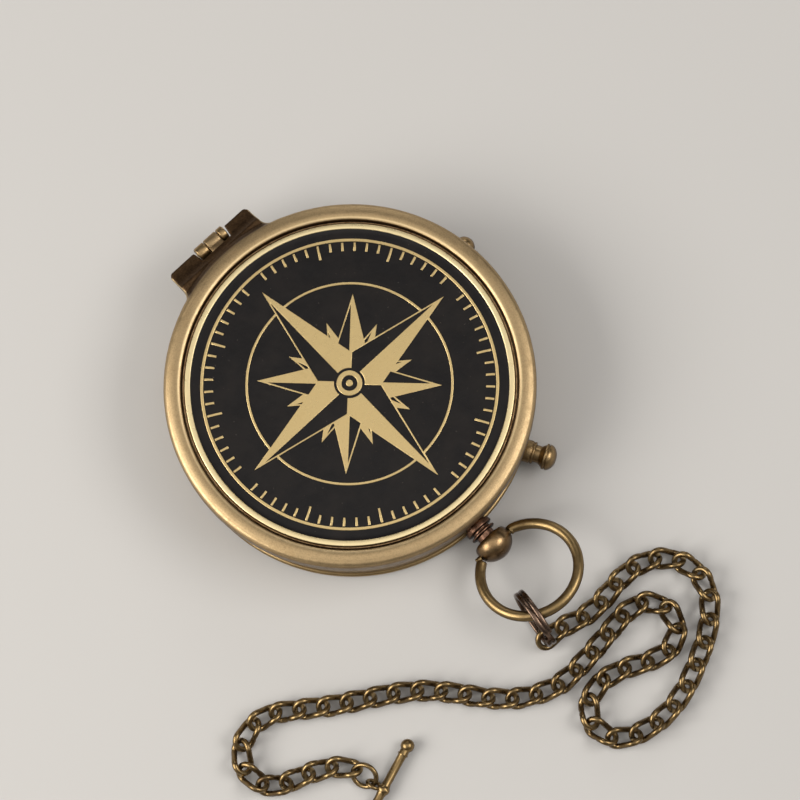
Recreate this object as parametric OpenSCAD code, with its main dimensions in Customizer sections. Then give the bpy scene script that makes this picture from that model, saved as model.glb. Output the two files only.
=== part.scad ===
// Pocket compass with a hinged lid, a stem with a bow, and a fob chain.
// Millimetres, +Z up. Origin: centre of the flat underside of the case.
// The hinge is on +Y, the stem and bow are on -Y.

/* [Case] */
// Outer diameter of the lid, the widest round part
lid_d = 75; // [74.5:0.5:76]
// Height of the case from the table to its top rim
case_h = 13.6; // [13.5:0.05:13.7]
// Outer diameter of the case wall between floor and top bead
case_d = 72; // [71.6:0.1:72.2]
// Thickness of the case wall
wall_t = 1.4; // [1.2:0.05:1.4]
// Thickness of the case floor
floor_t = 1.6; // [1.2:0.1:1.8]

/* [Lid] */
// Overall height with the lid shut
total_h = 18.6; // [18.5:0.05:18.8]
// Radius of the black enamel field
field_r = 32; // [31:0.25:32]
// Height that the brass relief stands above the plate
relief_h = 0.42; // [0.3:0.02:0.5]

/* [Stem and bow] */
// Diameter of the stem's bowl-shaped ball
ball_d = 8; // [7.7:0.1:8.1]
// Mean radius of the bow
bow_r = 10.1; // [10:0.05:10.2]
// Diameter of the bow's wire
bow_wire = 2.2; // [1.8:0.1:2.2]
// Angle at which the bow stands above the level
bow_deg = 19.1; // [18.9:0.1:19.2]

/* [Needle] */
// Length of the needle from tip to tip
needle_l = 55.6; // [48:0.4:56]
// Thickness of the needle
needle_t = 0.35; // [0.25:0.05:0.35]
// Bearing that the needle shows
needle_deg = 20; // [0:5:355]

/* [Chain] */
// Outer length of one link
link_l = 8; // [7.95:0.05:8.05]
// Outer width of one link
link_w = 5.4; // [5.4:0.05:5.5]
// Diameter of the link wire
link_wire = 1.2; // [1:0.05:1.2]
// Twist of a link from one end to the other
link_twist = 84; // [80:2:84]
// Number of links
link_n = 51; // [47:2:51]

/* [Hidden] */
$fn = 72;

lid_r = lid_d / 2;
case_r = case_d / 2;
in_r = case_r - wall_t;
lid_z = case_h + 0.3;            // underside of the lid's skirt
hinge_y = 41.8;                  // hinge axis
hinge_z = case_h + 0.15;
axis_z = 5;                      // stem, arrest knob and check button share one level
ball_y = 42.2;                   // stem ball from the centre
ball_r = ball_d / 2;
arrest_a = -61;                  // bearing of the arrest knob round the case
check_a = 11;                    // bearing of the check button
dial_z = 7;                      // underside of the dial plate
bow_c = 9.25;                    // bow centre from its pivot
bow_x = 1.2;                     // the bow is bent a little to one side
ring_c = [-4.6, -58.75, 6.55];   // centre of the split ring
ring_a = -9.7;                   // bearing of its axis
ring_r = 5.95;

// Points along an arc, for turned profiles
function arc(x, y, r, a0, a1, n) =
    [for (i = [0:n]) [x + r * cos(a0 + (a1 - a0) * i / n), y + r * sin(a0 + (a1 - a0) * i / n)]];

module turned(p) rotate_extrude($fn = 96) polygon(p);

// Puts a shape drawn along +X on a radial axis of the case
module radial(a) rotate([0, 0, a]) translate([0, 0, axis_z]) children();

// A profile turned about a radial axis: pairs of distance from the centre and radius
module radial_turned(p) rotate([0, 90, 0]) rotate_extrude($fn = 48)
    polygon([for (q = p) [q[1], q[0]]]);

module rod(x0, x1, r) translate([x0, 0, 0]) rotate([0, 90, 0]) cylinder(r = r, h = x1 - x0, $fn = 40);

// ---------- case ----------

module case_body() {
    color([0.66, 0.54, 0.33]) difference() {
        turned(concat([[0, 0]], arc(case_r - 0.9, 0.9, 0.9, -90, 0, 4), arc(case_r, 1.9, 0.6, -90, 90, 6),
            [[case_r, case_h - 2.4]], arc(case_r, case_h - 1.2, 1.2, -90, 90, 8),
            [[in_r, case_h], [in_r, floor_t], [0, floor_t]]));
        translate([0, 0, axis_z]) rotate([0, 0, -90]) rod(30, 40, 1.5);
        radial(arrest_a) rod(30, 40, 1.7);
        radial(check_a) rod(30, 40, 1.5);
    }
}

// Lug soldered to the case behind the top bead, with the two outer knuckles
module hinge_lug() {
    color([0.45, 0.34, 0.2]) difference() {
        union() {
            difference() {
                translate([-3.75, 0, 0]) rotate([90, 0, 90]) linear_extrude(7.5)
                    polygon([[35, 8.4], [36.8, 8.4], [38.2, 10], [40, 11.4], [hinge_y, 12.25],
                        [hinge_y, 13.35], [35, 13.35]]);
                translate([0, 0, 5]) cylinder(r = case_r, h = 12);
                translate([0, 0, case_h - 2.5]) cylinder(r = case_r + 1.2, h = 6);
            }
            translate([-3.75, hinge_y, hinge_z]) rod(0, 2.45, 1.5);
            translate([2.2, hinge_y, hinge_z]) rod(0, 1.55, 1.5);
        }
        translate([-1.3, hinge_y, hinge_z]) rod(0, 3.5, 1.66);
        translate([-5, hinge_y, hinge_z]) rod(0, 10, 0.6);
    }
}

module hinge_pin() {
    color([0.78, 0.68, 0.48]) translate([0, hinge_y, hinge_z]) rod(-3.85, 3.85, 0.6);
}

// Turned neck of the stem, screwed through the case wall
module pendant_neck() {
    color([0.36, 0.22, 0.15]) rotate([0, 0, -90]) translate([0, 0, axis_z])
        radial_turned([[32.7, 0], [32.7, 1.5], [36.05, 1.5], [36.05, 2.42], [36.7, 2.42], [36.8, 3],
            [37.3, 3], [37.38, 2.86], [37.46, 3], [37.95, 3], [38.05, 2.6], [38.3, 2.6], [38.4, 2.9],
            [39, 2.9], [39.15, 2.05], [40.2, 2.05], [40.2, 1.4], [41.1, 1.4], [41.1, 0]]);
}

module pendant_nut() {
    color([0.6, 0.5, 0.3]) rotate([0, 0, -90]) translate([33, 0, axis_z]) rotate([0, 90, 0])
        difference() {
            cylinder(r = 1.96, h = 1.5, $fn = 6);
            translate([0, 0, -1]) cylinder(r = 1.5, h = 4);
        }
}

// Wide, bowl-shaped ball; the bow's pins sit in its cross hole
module pendant_ball() {
    w = ball_r;
    color([0.68, 0.55, 0.33]) difference() {
        rotate([0, 0, -90]) translate([0, 0, axis_z])
            radial_turned([[40.2, 0], [40.2, w - 0.8], [40.35, w - 0.45], [40.7, w - 0.2], [41.2, w - 0.05],
                [41.8, w], [42.4, w - 0.04], [43, w - 0.2], [43.6, w - 0.52], [44.1, w - 0.95],
                [44.55, w - 1.5], [44.9, w - 2.15], [45.15, w - 2.9], [45.25, 0]]);
        rotate([0, 0, -90]) translate([0, 0, axis_z]) rod(39, 41.1, 1.4);
        translate([0, -ball_y, axis_z]) rod(-5, 5, 0.65);
    }
}

// ---------- dial and glass ----------

pillar_a = [45, 165, 270];

module dial_pillars() {
    color([0.62, 0.5, 0.3]) for (a = pillar_a) rotate([0, 0, a]) translate([30.6, 0, 0])
        difference() {
            translate([0, 0, floor_t]) cylinder(r = 1.9, h = dial_z - floor_t);
            translate([0, 0, 4]) cylinder(r = 0.8, h = 10);
        }
}

module dial_plate() {
    color([0.7, 0.58, 0.36]) difference() {
        translate([0, 0, dial_z]) cylinder(r = in_r - 0.2, h = 0.6);
        translate([0, 0, 5]) cylinder(r = 2.15, h = 5);
        rotate([0, 0, check_a]) translate([7, 0, 5]) cylinder(r = 1, h = 5);
        for (a = pillar_a) rotate([0, 0, a]) translate([30.6, 0, 5]) cylinder(r = 0.85, h = 5);
    }
}

// Printed card on the dial plate
module dial_card() {
    color([0.88, 0.84, 0.72]) difference() {
        translate([0, 0, dial_z + 0.6]) cylinder(r = 28.2, h = 0.15);
        translate([0, 0, 5]) cylinder(r = 2.15, h = 5);
        rotate([0, 0, check_a]) translate([7, 0, 5]) cylinder(r = 1, h = 5);
    }
}

// Raised ring with the degree scale
module graduation_ring() {
    color([0.8, 0.74, 0.58]) difference() {
        turned([[28.4, dial_z + 0.6], [32.9, dial_z + 0.6], [32.9, dial_z + 2],
            [28.7, dial_z + 2], [28.4, dial_z + 1.7]]);
        for (a = pillar_a) rotate([0, 0, a]) translate([30.6, 0, 0]) {
            translate([0, 0, 7]) cylinder(r = 0.85, h = 5);
            translate([0, 0, 8.3]) cylinder(r = 1.45, h = 5);
        }
    }
}

module dial_screws() {
    color([0.5, 0.52, 0.56]) for (a = pillar_a) rotate([0, 0, a]) translate([30.6, 0, 0])
        difference() {
            union() {
                translate([0, 0, 4.2]) cylinder(r = 0.8, h = 4.3);
                translate([0, 0, 8.3]) cylinder(r = 1.4, h = 0.65);
            }
            translate([-2, -0.18, 8.65]) cube([4, 0.36, 1]);
        }
}

module pivot_stud() {
    color([0.66, 0.54, 0.33]) difference() {
        turned([[0, floor_t], [3.4, floor_t], [3.4, 2.5], [1.2, 2.9], [1.2, 8], [0.9, 8.3], [0, 8.3]]);
        translate([0, 0, 6]) cylinder(r = 0.45, h = 5);
    }
}

module pivot_pin() {
    color([0.7, 0.72, 0.75]) turned([[0, 6], [0.45, 6], [0.45, 9.1], [0.06, 10.4], [0, 10.4]]);
}

module spacer_ring() {
    color([0.7, 0.58, 0.36]) translate([0, 0, dial_z + 0.6]) difference() {
        cylinder(r = in_r - 0.1, h = 4.3, $fn = 96);
        translate([0, 0, -1]) cylinder(r = 33, h = 8, $fn = 96);
    }
}

module crystal() {
    color([0.8, 0.9, 0.95, 0.3]) turned([[0, 11.9], [34.2, 11.9], [34.2, 13.1], [34, 13.3], [0, 13.3]]);
}

module bezel_ring() {
    color([0.72, 0.6, 0.38]) turned([[32, 13.3], [in_r - 0.05, 13.3], [in_r - 0.05, 13.9],
        [34.1, 14.3], [32.7, 14.3], [32, 13.8]]);
}

// ---------- bushes and brackets fixed in the case ----------

module arrest_bush() {
    color([0.68, 0.55, 0.33]) radial(arrest_a)
        radial_turned([[in_r - 0.1, 1.24], [in_r - 0.1, 1.7], [case_r + 0.1, 1.7], [case_r + 0.1, 2],
            [36.7, 2], [36.8, 2.35], [38.2, 2.35], [38.28, 2.18], [38.42, 2.18], [38.5, 2.3],
            [38.8, 2.3], [38.9, 2.2], [38.9, 1.9], [36.95, 1.9], [36.95, 1.24]]);
}

module check_bush() {
    color([0.68, 0.55, 0.33]) radial(check_a)
        radial_turned([[in_r - 0.1, 0.84], [in_r - 0.1, 1.5], [case_r + 0.1, 1.5], [case_r + 0.1, 1.9],
            [37.4, 1.9], [37.4, 0.84]]);
}

// U-shaped bracket on the case floor that carries a lever's fulcrum pin
module bracket(x, gap) {
    difference() {
        union() {
            translate([x - 1.5, -gap - 1.2, floor_t]) cube([3, 2 * gap + 2.4, 0.4]);
            for (s = [-1, 1]) translate([x - 1.2, s > 0 ? gap : -gap - 1.2, floor_t])
                cube([2.4, 1.2, 3.2]);
        }
        translate([x, 0, 3.65]) rotate([90, 0, 0]) translate([0, 0, -10]) cylinder(r = 0.4, h = 20);
    }
}

module lift_bracket() { color([0.62, 0.5, 0.3]) rotate([0, 0, arrest_a]) bracket(12, 1.7); }
module brake_bracket() { color([0.62, 0.5, 0.3]) rotate([0, 0, check_a]) bracket(15, 1.4); }

module fulcrum_pins() {
    color([0.6, 0.62, 0.66]) {
        rotate([0, 0, arrest_a]) translate([12, 2.85, 3.65]) rotate([90, 0, 0]) cylinder(r = 0.4, h = 5.7);
        rotate([0, 0, check_a]) translate([15, 2.55, 3.65]) rotate([90, 0, 0]) cylinder(r = 0.4, h = 5.1);
    }
}

// ---------- lid ----------

// Turned lid with the hinge tab and the middle knuckle in one casting
module lid_shell() {
    color([0.74, 0.62, 0.4]) difference() {
        union() {
            turned(concat([[0, 15.8], [35.6, 15.8], [35.6, lid_z], [lid_r - 0.5, lid_z]],
                arc(lid_r - 0.5, lid_z + 0.5, 0.5, -90, 0, 3),
                arc(lid_r - 1.3, total_h - 1.5, 1.3, 0, 75, 5),
                [[35.8, total_h - 0.07], [35.2, total_h], [34.6, total_h - 0.05],
                 [34.1, total_h - 0.25], [33.8, total_h - 0.6], [33.8, 17], [0, 17]]));
            difference() {
                intersection() {
                    translate([0, 0, 12]) linear_extrude(8) polygon(concat(
                        [[-14.7, 30]], arc(-14.7, 38.1, 3.6, -90, 0, 5), [[-11.1, 41.8], [-10.4, 42.6]],
                        [[9.5, 42.6], [10.2, 41.8]], arc(13.8, 38.47, 3.6, 180, 270, 5), [[13.8, 30]]));
                    translate([-15, 0, 0]) rotate([90, 0, 90]) linear_extrude(30)
                        polygon([[34, 18], [36.2, 18], [37.3, 17.5], [38.2, 16.6], [39.1, 15.7],
                            [40.1, 15.05], [41.3, 14.65], [42.4, 14.45], [42.7, 14], [42.7, 13.95],
                            [34, 13.95]]);
                }
                translate([0, 0, 10]) cylinder(r = 36.4, h = 12);
                translate([-3.9, hinge_y - 1.7, 10]) cube([7.8, 6, 10]);
            }
            translate([-1.15, 37, 13.95]) cube([3.2, hinge_y - 37, 1]);
            translate([-1.15, hinge_y, hinge_z]) rod(0, 3.2, 1.5);
        }
        translate([-5, hinge_y, hinge_z]) rod(0, 10, 0.64);
    }
}

// A triangle shrunk by t on every side
function inset(p, t) =
    let (a = norm(p[1] - p[2]), b = norm(p[2] - p[0]), c = norm(p[0] - p[1]), s = a + b + c,
        m = (a * p[0] + b * p[1] + c * p[2]) / s, k = 1 - t * s / abs(cross(p[1] - p[0], p[2] - p[0])))
    [for (q = p) m + k * (q - m)];

// One point of the rose out to radius l: one half solid, the other half outlined
module rose_point(a, l, w, h) rotate([0, 0, a]) {
    polygon([[0, 0], [w, h], [0, l]]);
    difference() {
        polygon([[0, 0], [0, l], [-w, h]]);
        polygon(inset([[0, 0], [0, l], [-w, h]], 0.3));
    }
}
module whole_point(a, l, w, h) rotate([0, 0, a]) polygon([[0, 0], [w, h], [0, l], [-w, h]]);

module band(r0, r1) difference() { circle(r = r1, $fn = 96); circle(r = r0, $fn = 96); }

// The raised pattern of the lid: a sixteen-point rose, rings and marks
module relief() {
    difference() {
        union() {
            for (k = [0:3]) rose_point(k * 90, 26, 4.6, 4.6);
            difference() {
                union() {
                    for (k = [0:3]) rose_point(45 + k * 90, 18.6, 4, 4);
                    difference() {
                        union() {
                            for (k = [0:7]) rose_point(22.5 + k * 45, 13.4, 2.6, 4.6);
                            band(20.4, 20.9);
                        }
                        for (k = [0:3]) whole_point(45 + k * 90, 18.6, 4, 4);
                    }
                }
                for (k = [0:3]) whole_point(k * 90, 26, 4.6, 4.6);
            }
        }
        circle(r = 3.1);
    }
    band(1.6, 2.6);
    circle(r = 0.7);
    band(29.4, 30);
    for (k = [0:71]) if (k % 18 != 0) rotate([0, 0, k * 5])
        translate([-0.24, k % 6 == 0 ? 26.2 : 27.4]) square([0.48, k % 6 == 0 ? 3 : 1.8]);
}

// Brass plate with a raised border and the raised pattern
module lid_plate() {
    color([0.85, 0.73, 0.45]) union() {
        translate([0, 0, 17]) cylinder(r = 33.7, h = 0.8, $fn = 96);
        translate([0, 0, 17.6]) linear_extrude(0.2 + relief_h) band(field_r, 33.2);
        translate([0, 0, 17.6]) linear_extrude(0.2 + relief_h) relief();
    }
}

// Black enamel that fills the field between the raised lines
module lid_enamel() {
    color([0.06, 0.055, 0.07]) translate([0, 0, 17.8]) linear_extrude(relief_h - 0.16) difference() {
        circle(r = field_r, $fn = 96);
        relief();
    }
}

// ---------- bow, split ring and chain ----------

module bow_ring() {
    a1 = asin(3.3 / bow_r);
    a2 = asin(5.57 / bow_r);
    color([0.6, 0.48, 0.28]) translate([0, -ball_y, axis_z]) rotate([-bow_deg, 0, 0]) union() {
        translate([bow_x, -bow_c, 0]) rotate([0, 0, 90 + a2]) rotate_extrude(angle = 360 - a1 - a2)
            translate([bow_r, 0]) circle(r = bow_wire / 2, $fn = 40);
        rod(1.9, 4.8, 0.6);
        rod(4.14, 4.9, 0.9);
        rod(-5.1, -1.9, 0.6);
    }
}

// Two coils of flattened wire, wound side by side
module split_ring() {
    color([0.55, 0.44, 0.26]) translate(ring_c) rotate([0, 0, ring_a]) rotate([0, 90, 0])
        rotate_extrude() union() for (k = [-1, 1]) translate([ring_r, 0.5 * k])
            polygon([for (i = [0:15]) [0.42 * cos(i * 22.5), 0.55 * sin(i * 22.5)]]);
}

// Route of the chain over the table, from the split ring to its far end
route = [[-5.55, -62.9, 2.7], [-1.4, -63.4, 2.4], [2.7, -64.6, 2.1], [6.6, -65, 2.1], [10.4, -64.7, 2.1],
    [14.6, -64.3, 2.1], [19.8, -65.2, 2.1], [24.2, -68.5, 2.1], [26, -73.8, 2.1], [24.2, -79.3, 2.1],
    [19.4, -83.8, 2.1], [13.6, -86.9, 2.1], [7.8, -89.2, 2.1], [2, -90.2, 2.1], [-3.8, -89.6, 2.1],
    [-8.4, -87.3, 2.1], [-10.4, -83, 2.1], [-8.6, -78.7, 2.1], [-4, -76.8, 2.1], [1.4, -77.8, 2.1],
    [6, -80, 2.1], [10.6, -81.2, 2.1], [14.7, -79.7, 2.1], [16.4, -75.7, 2.1], [14.7, -71.7, 2.1],
    [10.7, -70.1, 2.1], [5.5, -70.4, 2.1], [0.5, -71, 2.1], [-4.5, -71.4, 2.1], [-9.5, -71.3, 2.1],
    [-14, -69.8, 2.1], [-18.5, -67, 2.1], [-22.5, -63, 2.1], [-26, -58.5, 2.1], [-30, -54, 2.1],
    [-35, -50, 2.1], [-40.5, -46.5, 2.1], [-46, -43, 2.1], [-51.5, -39, 2.1], [-56.5, -35.8, 2.1],
    [-61.6, -35.4, 2.1], [-65.8, -37.8, 2.1], [-67.4, -42.4, 2.1], [-65.2, -46.9, 2.1],
    [-60.4, -49.2, 2.1], [-56, -51.2, 2.1], [-52.2, -54.4, 2.1], [-50.4, -58.9, 2.1]];
link_pitch = 4.8;
route_fine = 16;
// A smooth curve through the route's points
function through(a, b, c, d, t) = 0.5 * (2 * b + (c - a) * t + (2 * a - 5 * b + 4 * c - d) * t * t
    + (3 * b - a - 3 * c + d) * t * t * t);
function at(i) = i < 0 ? 2 * route[0] - route[1]
    : i >= len(route) ? 2 * route[len(route) - 1] - route[len(route) - 2] : route[i];
line = [for (i = [0:len(route) - 2]) for (j = [0:route_fine - 1])
    through(at(i - 1), at(i), at(i + 1), at(i + 2), j / route_fine), route[len(route) - 1]];
function add_up(p, i, s) = i >= len(p) ? [] : concat([s], add_up(p, i + 1, i + 1 < len(p) ? s + norm(p[i + 1] - p[i]) : s));
steps = add_up(line, 0, 0);
function on_line(s) = [for (k = [0:2]) lookup(s, [for (i = [0:len(line) - 1]) [steps[i], line[i][k]]])];

// Places a shape with its long side along the route at length s, rolled about it
module on_route(s, roll) {
    p = on_line(s);
    d = on_line(min(s + 1, steps[len(steps) - 1])) - on_line(max(s - 1, 0));
    translate(p) rotate([0, -asin(d[2] / norm(d)), atan2(d[1], d[0])]) rotate([roll, 0, 0]) children();
}

// Oval link of round wire, twisted about its long axis so that the chain lies flat
module oval_link() {
    r = (link_w - link_wire) / 2;
    h = (link_l - link_w) / 2;
    a = link_twist / 2;
    c = r * cos(a);
    e = r * sin(a);
    union() {
        rotate([-a, 0, 0]) translate([h, 0, 0]) rotate([0, 0, -90])
            rotate_extrude(angle = 180, $fn = 32) translate([r, 0]) circle(r = link_wire / 2, $fn = 20);
        rotate([a, 0, 0]) translate([-h, 0, 0]) rotate([0, 0, 90])
            rotate_extrude(angle = 180, $fn = 32) translate([r, 0]) circle(r = link_wire / 2, $fn = 20);
        for (s = [-1, 1]) {
            translate([-h, s * c, s * e]) rotate([0, 90 + s * atan2(e, h), 0])
                cylinder(r = link_wire / 2, h = 2 * norm([h, e]), $fn = 20);
            for (t = [-1, 1]) translate([t * h, s * c, -s * t * e]) sphere(r = link_wire / 2 + 0.01, $fn = 20);
        }
    }
}

lead_n = 7; // links that follow the bow when it is raised

module links_between(i0, i1) for (i = [i0:i1])
    on_route(1.6 + i * link_pitch, 0) oval_link();

module chain_lead() { color([0.5, 0.4, 0.24]) links_between(0, lead_n - 1); }
module chain_links() { color([0.5, 0.4, 0.24]) links_between(lead_n, link_n - 1); }

end_s = 1.3 + link_n * link_pitch;

module chain_end_ring() {
    color([0.5, 0.4, 0.24]) translate([0, 0, 0.15]) on_route(end_s, 40) rotate_extrude($fn = 48)
        translate([2.5, 0]) circle(r = 0.5, $fn = 24);
}

// Bar with an eye at its middle, to pass through a buttonhole
module t_bar() {
    color([0.55, 0.44, 0.26]) translate([-50.6, -60.3, 1.6]) rotate([0, 0, -72]) union() {
        rotate([-60, 0, 0]) rotate_extrude($fn = 40) translate([1.35, 0]) circle(r = 0.4, $fn = 24);
        translate([2.2, 0, 0]) {
            rotate([90, 0, 0]) translate([0, 0, -9.5]) cylinder(r = 0.95, h = 19);
            for (s = [-1, 1]) translate([0, s * 10, 0]) sphere(r = 1.4);
            sphere(r = 1.3);
        }
    }
}

// ---------- needle ----------

module needle() {
    color([0.2, 0.25, 0.42]) rotate([0, 0, -needle_deg]) translate([0, 0, 9.4]) linear_extrude(needle_t)
        difference() {
            polygon([[0, needle_l / 2], [2.7, 1.5], [2.7, -1.5], [0, -needle_l / 2], [-2.7, -1.5], [-2.7, 1.5]]);
            circle(r = 1.7);
        }
}

module needle_cap() {
    color([0.78, 0.66, 0.42]) turned([[1.1, 9.05], [1.7, 9.05], [1.7, 9.4 + needle_t], [2.3, 9.4 + needle_t],
        [2.3, 10.4], [1.9, 10.95], [1.1, 11.25], [0, 11.3], [0, 10.95], [1.1, 10.95]]);
}

// Jewel with a conical seat that turns on the pivot's point
module cap_jewel() {
    color([0.6, 0.12, 0.16]) turned([[0.62, 9.75], [1.07, 9.75], [1.07, 10.92], [0, 10.92], [0, 10.5]]);
}

// ---------- arrest: knob, lever and sleeve ----------

module lift_sleeve() {
    color([0.7, 0.58, 0.36]) turned([[1.28, 4.06], [3.2, 4.06], [3.2, 4.5], [2.05, 4.7], [2.05, 8.8], [1.28, 8.8]]);
}

module lift_lever() {
    color([0.66, 0.56, 0.36]) rotate([0, 0, arrest_a]) difference() {
        union() {
            translate([3.4, -1.5, 3.4]) cube([23.75, 3, 0.5]);
            translate([26.55, -1.5, 3.4]) cube([0.6, 3, 1.08]);
            translate([0, 0, 3.4]) cylinder(r = 4.2, h = 0.5);
            translate([12, 1.5, 3.65]) rotate([90, 0, 0]) cylinder(r = 0.85, h = 3);
        }
        translate([0, 0, 3]) cylinder(r = 2.3, h = 2);
        translate([12, 4, 3.65]) rotate([90, 0, 0]) cylinder(r = 0.45, h = 8);
    }
}

module arrest_knob() {
    color([0.72, 0.6, 0.38]) radial(arrest_a) difference() {
        union() {
            radial_turned([[27.2, 0], [27.2, 0.2], [28.2, 1.2], [38.05, 1.2], [38.05, 1.8], [40, 1.8],
                [40.9, 2.45], [41, 2.7], [41.4, 2.7], [41.48, 2.52], [41.6, 2.52], [41.7, 2.68],
                [42, 2.62], [42.4, 2.42], [42.8, 2.06], [43.1, 1.62], [43.35, 1], [43.45, 0.4], [43.45, 0]]);
        }
        translate([33.8, 0, 0]) rotate([0, 90, 0]) difference() {
            cylinder(r = 2, h = 0.66);
            translate([0, 0, -1]) cylinder(r = 0.9, h = 3);
        }
    }
}

// Open clip in the shaft's groove that stops the knob from being pulled out
module arrest_clip() {
    color([0.55, 0.57, 0.6]) radial(arrest_a) translate([33.82, 0, 0]) rotate([0, 90, 0]) difference() {
        cylinder(r = 1.8, h = 0.62);
        translate([0, 0, -1]) cylinder(r = 0.9, h = 3);
        translate([0, -0.5, -1]) cube([3, 1, 3]);
    }
}

// ---------- check button and brake ----------

module check_button() {
    color([0.72, 0.6, 0.38]) radial(check_a) difference() {
        union() {
            radial_turned([[27.5, 0], [27.5, 0.2], [28.1, 0.8], [39.6, 0.8], [39.6, 0]]);
            radial_turned([[38.9, 1.6], [38.7, 1.75], [38.7, 2], [39, 2.12], [39.4, 2.12], [39.9, 2],
                [40.4, 1.72], [40.8, 1.3], [41.1, 0.75], [41.2, 0.3], [41.2, 0], [39.5, 0], [39.5, 1.6]]);
        }
        translate([33.85, 0, 0]) rotate([0, 90, 0]) difference() {
            cylinder(r = 2, h = 0.58);
            translate([0, 0, -1]) cylinder(r = 0.6, h = 3);
        }
    }
}

module check_clip() {
    color([0.55, 0.57, 0.6]) radial(check_a) translate([33.87, 0, 0]) rotate([0, 90, 0]) difference() {
        cylinder(r = 1.5, h = 0.54);
        translate([0, 0, -1]) cylinder(r = 0.6, h = 3);
        translate([0, -0.4, -1]) cube([3, 0.8, 3]);
    }
}

// Return spring of the check button, round its stem and inside its head
spring_turns = 3;
spring_at = [for (i = [0:24 * spring_turns]) let (a = i * 15)
    [37.54 + 1.82 * i / (24 * spring_turns), 1.2 * cos(a), 1.2 * sin(a)]];
module check_spring() {
    n = len(spring_at);
    pts = [for (i = [0:n - 1]) let (a = i * 15) for (k = [0:5])
        spring_at[i] + 0.13 * [sin(k * 60), cos(k * 60) * cos(a), cos(k * 60) * sin(a)]];
    color([0.6, 0.62, 0.66]) radial(check_a) polyhedron(pts, concat(
        [[for (k = [0:5]) k]], [[for (k = [5:-1:0]) (n - 1) * 6 + k]],
        [for (i = [0:n - 2]) for (k = [0:5]) [i * 6 + k, (i + 1) * 6 + k, (i + 1) * 6 + (k + 1) % 6]],
        [for (i = [0:n - 2]) for (k = [0:5]) [i * 6 + k, (i + 1) * 6 + (k + 1) % 6, i * 6 + (k + 1) % 6]]));
}

// Brake lever: its upright pin rises through the dial to steady the needle
module brake_lever() {
    color([0.66, 0.56, 0.36]) rotate([0, 0, check_a]) difference() {
        union() {
            translate([6, -1.2, 3.4]) cube([21.3, 2.4, 0.5]);
            translate([26.7, -1.2, 3.4]) cube([0.6, 2.4, 1.22]);
            translate([7, 0, 3.5]) cylinder(r = 0.5, h = 5.45);
            translate([15, 1.2, 3.65]) rotate([90, 0, 0]) cylinder(r = 0.85, h = 2.4);
        }
        translate([15, 4, 3.65]) rotate([90, 0, 0]) cylinder(r = 0.45, h = 8);
    }
}

case_body();
hinge_lug();
hinge_pin();
pendant_neck();
pendant_nut();
pendant_ball();
dial_pillars();
dial_plate();
dial_card();
graduation_ring();
dial_screws();
pivot_stud();
pivot_pin();
spacer_ring();
crystal();
bezel_ring();
arrest_bush();
check_bush();
lift_bracket();
brake_bracket();
fulcrum_pins();
lid_shell();
lid_plate();
lid_enamel();
bow_ring();
split_ring();
chain_lead();
chain_links();
chain_end_ring();
t_bar();
needle();
needle_cap();
cap_jewel();
lift_sleeve();
lift_lever();
arrest_knob();
arrest_clip();
check_button();
check_clip();
check_spring();
brake_lever();
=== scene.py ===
import bpy
import math
import random
import numpy as np
from mathutils import Vector, Matrix


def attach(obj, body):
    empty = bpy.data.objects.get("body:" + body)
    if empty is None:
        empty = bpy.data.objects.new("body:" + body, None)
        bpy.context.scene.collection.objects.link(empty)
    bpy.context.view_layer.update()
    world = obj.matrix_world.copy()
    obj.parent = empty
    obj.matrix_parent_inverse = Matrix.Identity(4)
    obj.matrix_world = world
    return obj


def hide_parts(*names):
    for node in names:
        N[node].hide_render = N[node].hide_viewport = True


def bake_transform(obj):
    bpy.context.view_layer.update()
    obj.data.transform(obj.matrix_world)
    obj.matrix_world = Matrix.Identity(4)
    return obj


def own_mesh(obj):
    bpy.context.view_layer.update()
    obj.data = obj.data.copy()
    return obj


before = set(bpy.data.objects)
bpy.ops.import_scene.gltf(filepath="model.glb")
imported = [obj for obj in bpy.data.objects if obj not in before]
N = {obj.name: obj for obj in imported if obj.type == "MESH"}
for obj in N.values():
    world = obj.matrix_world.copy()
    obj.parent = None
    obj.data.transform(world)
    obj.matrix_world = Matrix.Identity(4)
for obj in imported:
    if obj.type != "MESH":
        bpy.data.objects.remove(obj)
MM = 0.001
rng = random.Random(7)


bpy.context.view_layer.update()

# ------------------------------------------------------------------ camera

CAM_X = Vector((0.730, -0.683, -0.0385)).normalized()
CAM_Z = Vector((-0.1216, -0.185, 0.975)).normalized()
CAM_Y = CAM_Z.cross(CAM_X).normalized()
CAM_X = CAM_Y.cross(CAM_Z).normalized()
DIST = 0.62
SCALE = 4.99            # pixels per millimetre at the lid's plane
LOOK = Vector((5.123, -9.295, 16.875)) * MM

cam = bpy.data.cameras.new("camera")
cam.sensor_fit = "HORIZONTAL"
cam.sensor_width = 36
cam.lens = 36 * DIST / (800 / SCALE * MM)
cam.clip_start = 0.01
cam_ob = bpy.data.objects.new("camera", cam)
bpy.context.scene.collection.objects.link(cam_ob)
rot = Matrix((CAM_X, CAM_Y, CAM_Z)).transposed().to_4x4()
cam_ob.matrix_world = Matrix.Translation(LOOK + CAM_Z * DIST) @ rot
bpy.context.scene.camera = cam_ob

# ------------------------------------------------------------------ mesh tools


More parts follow.
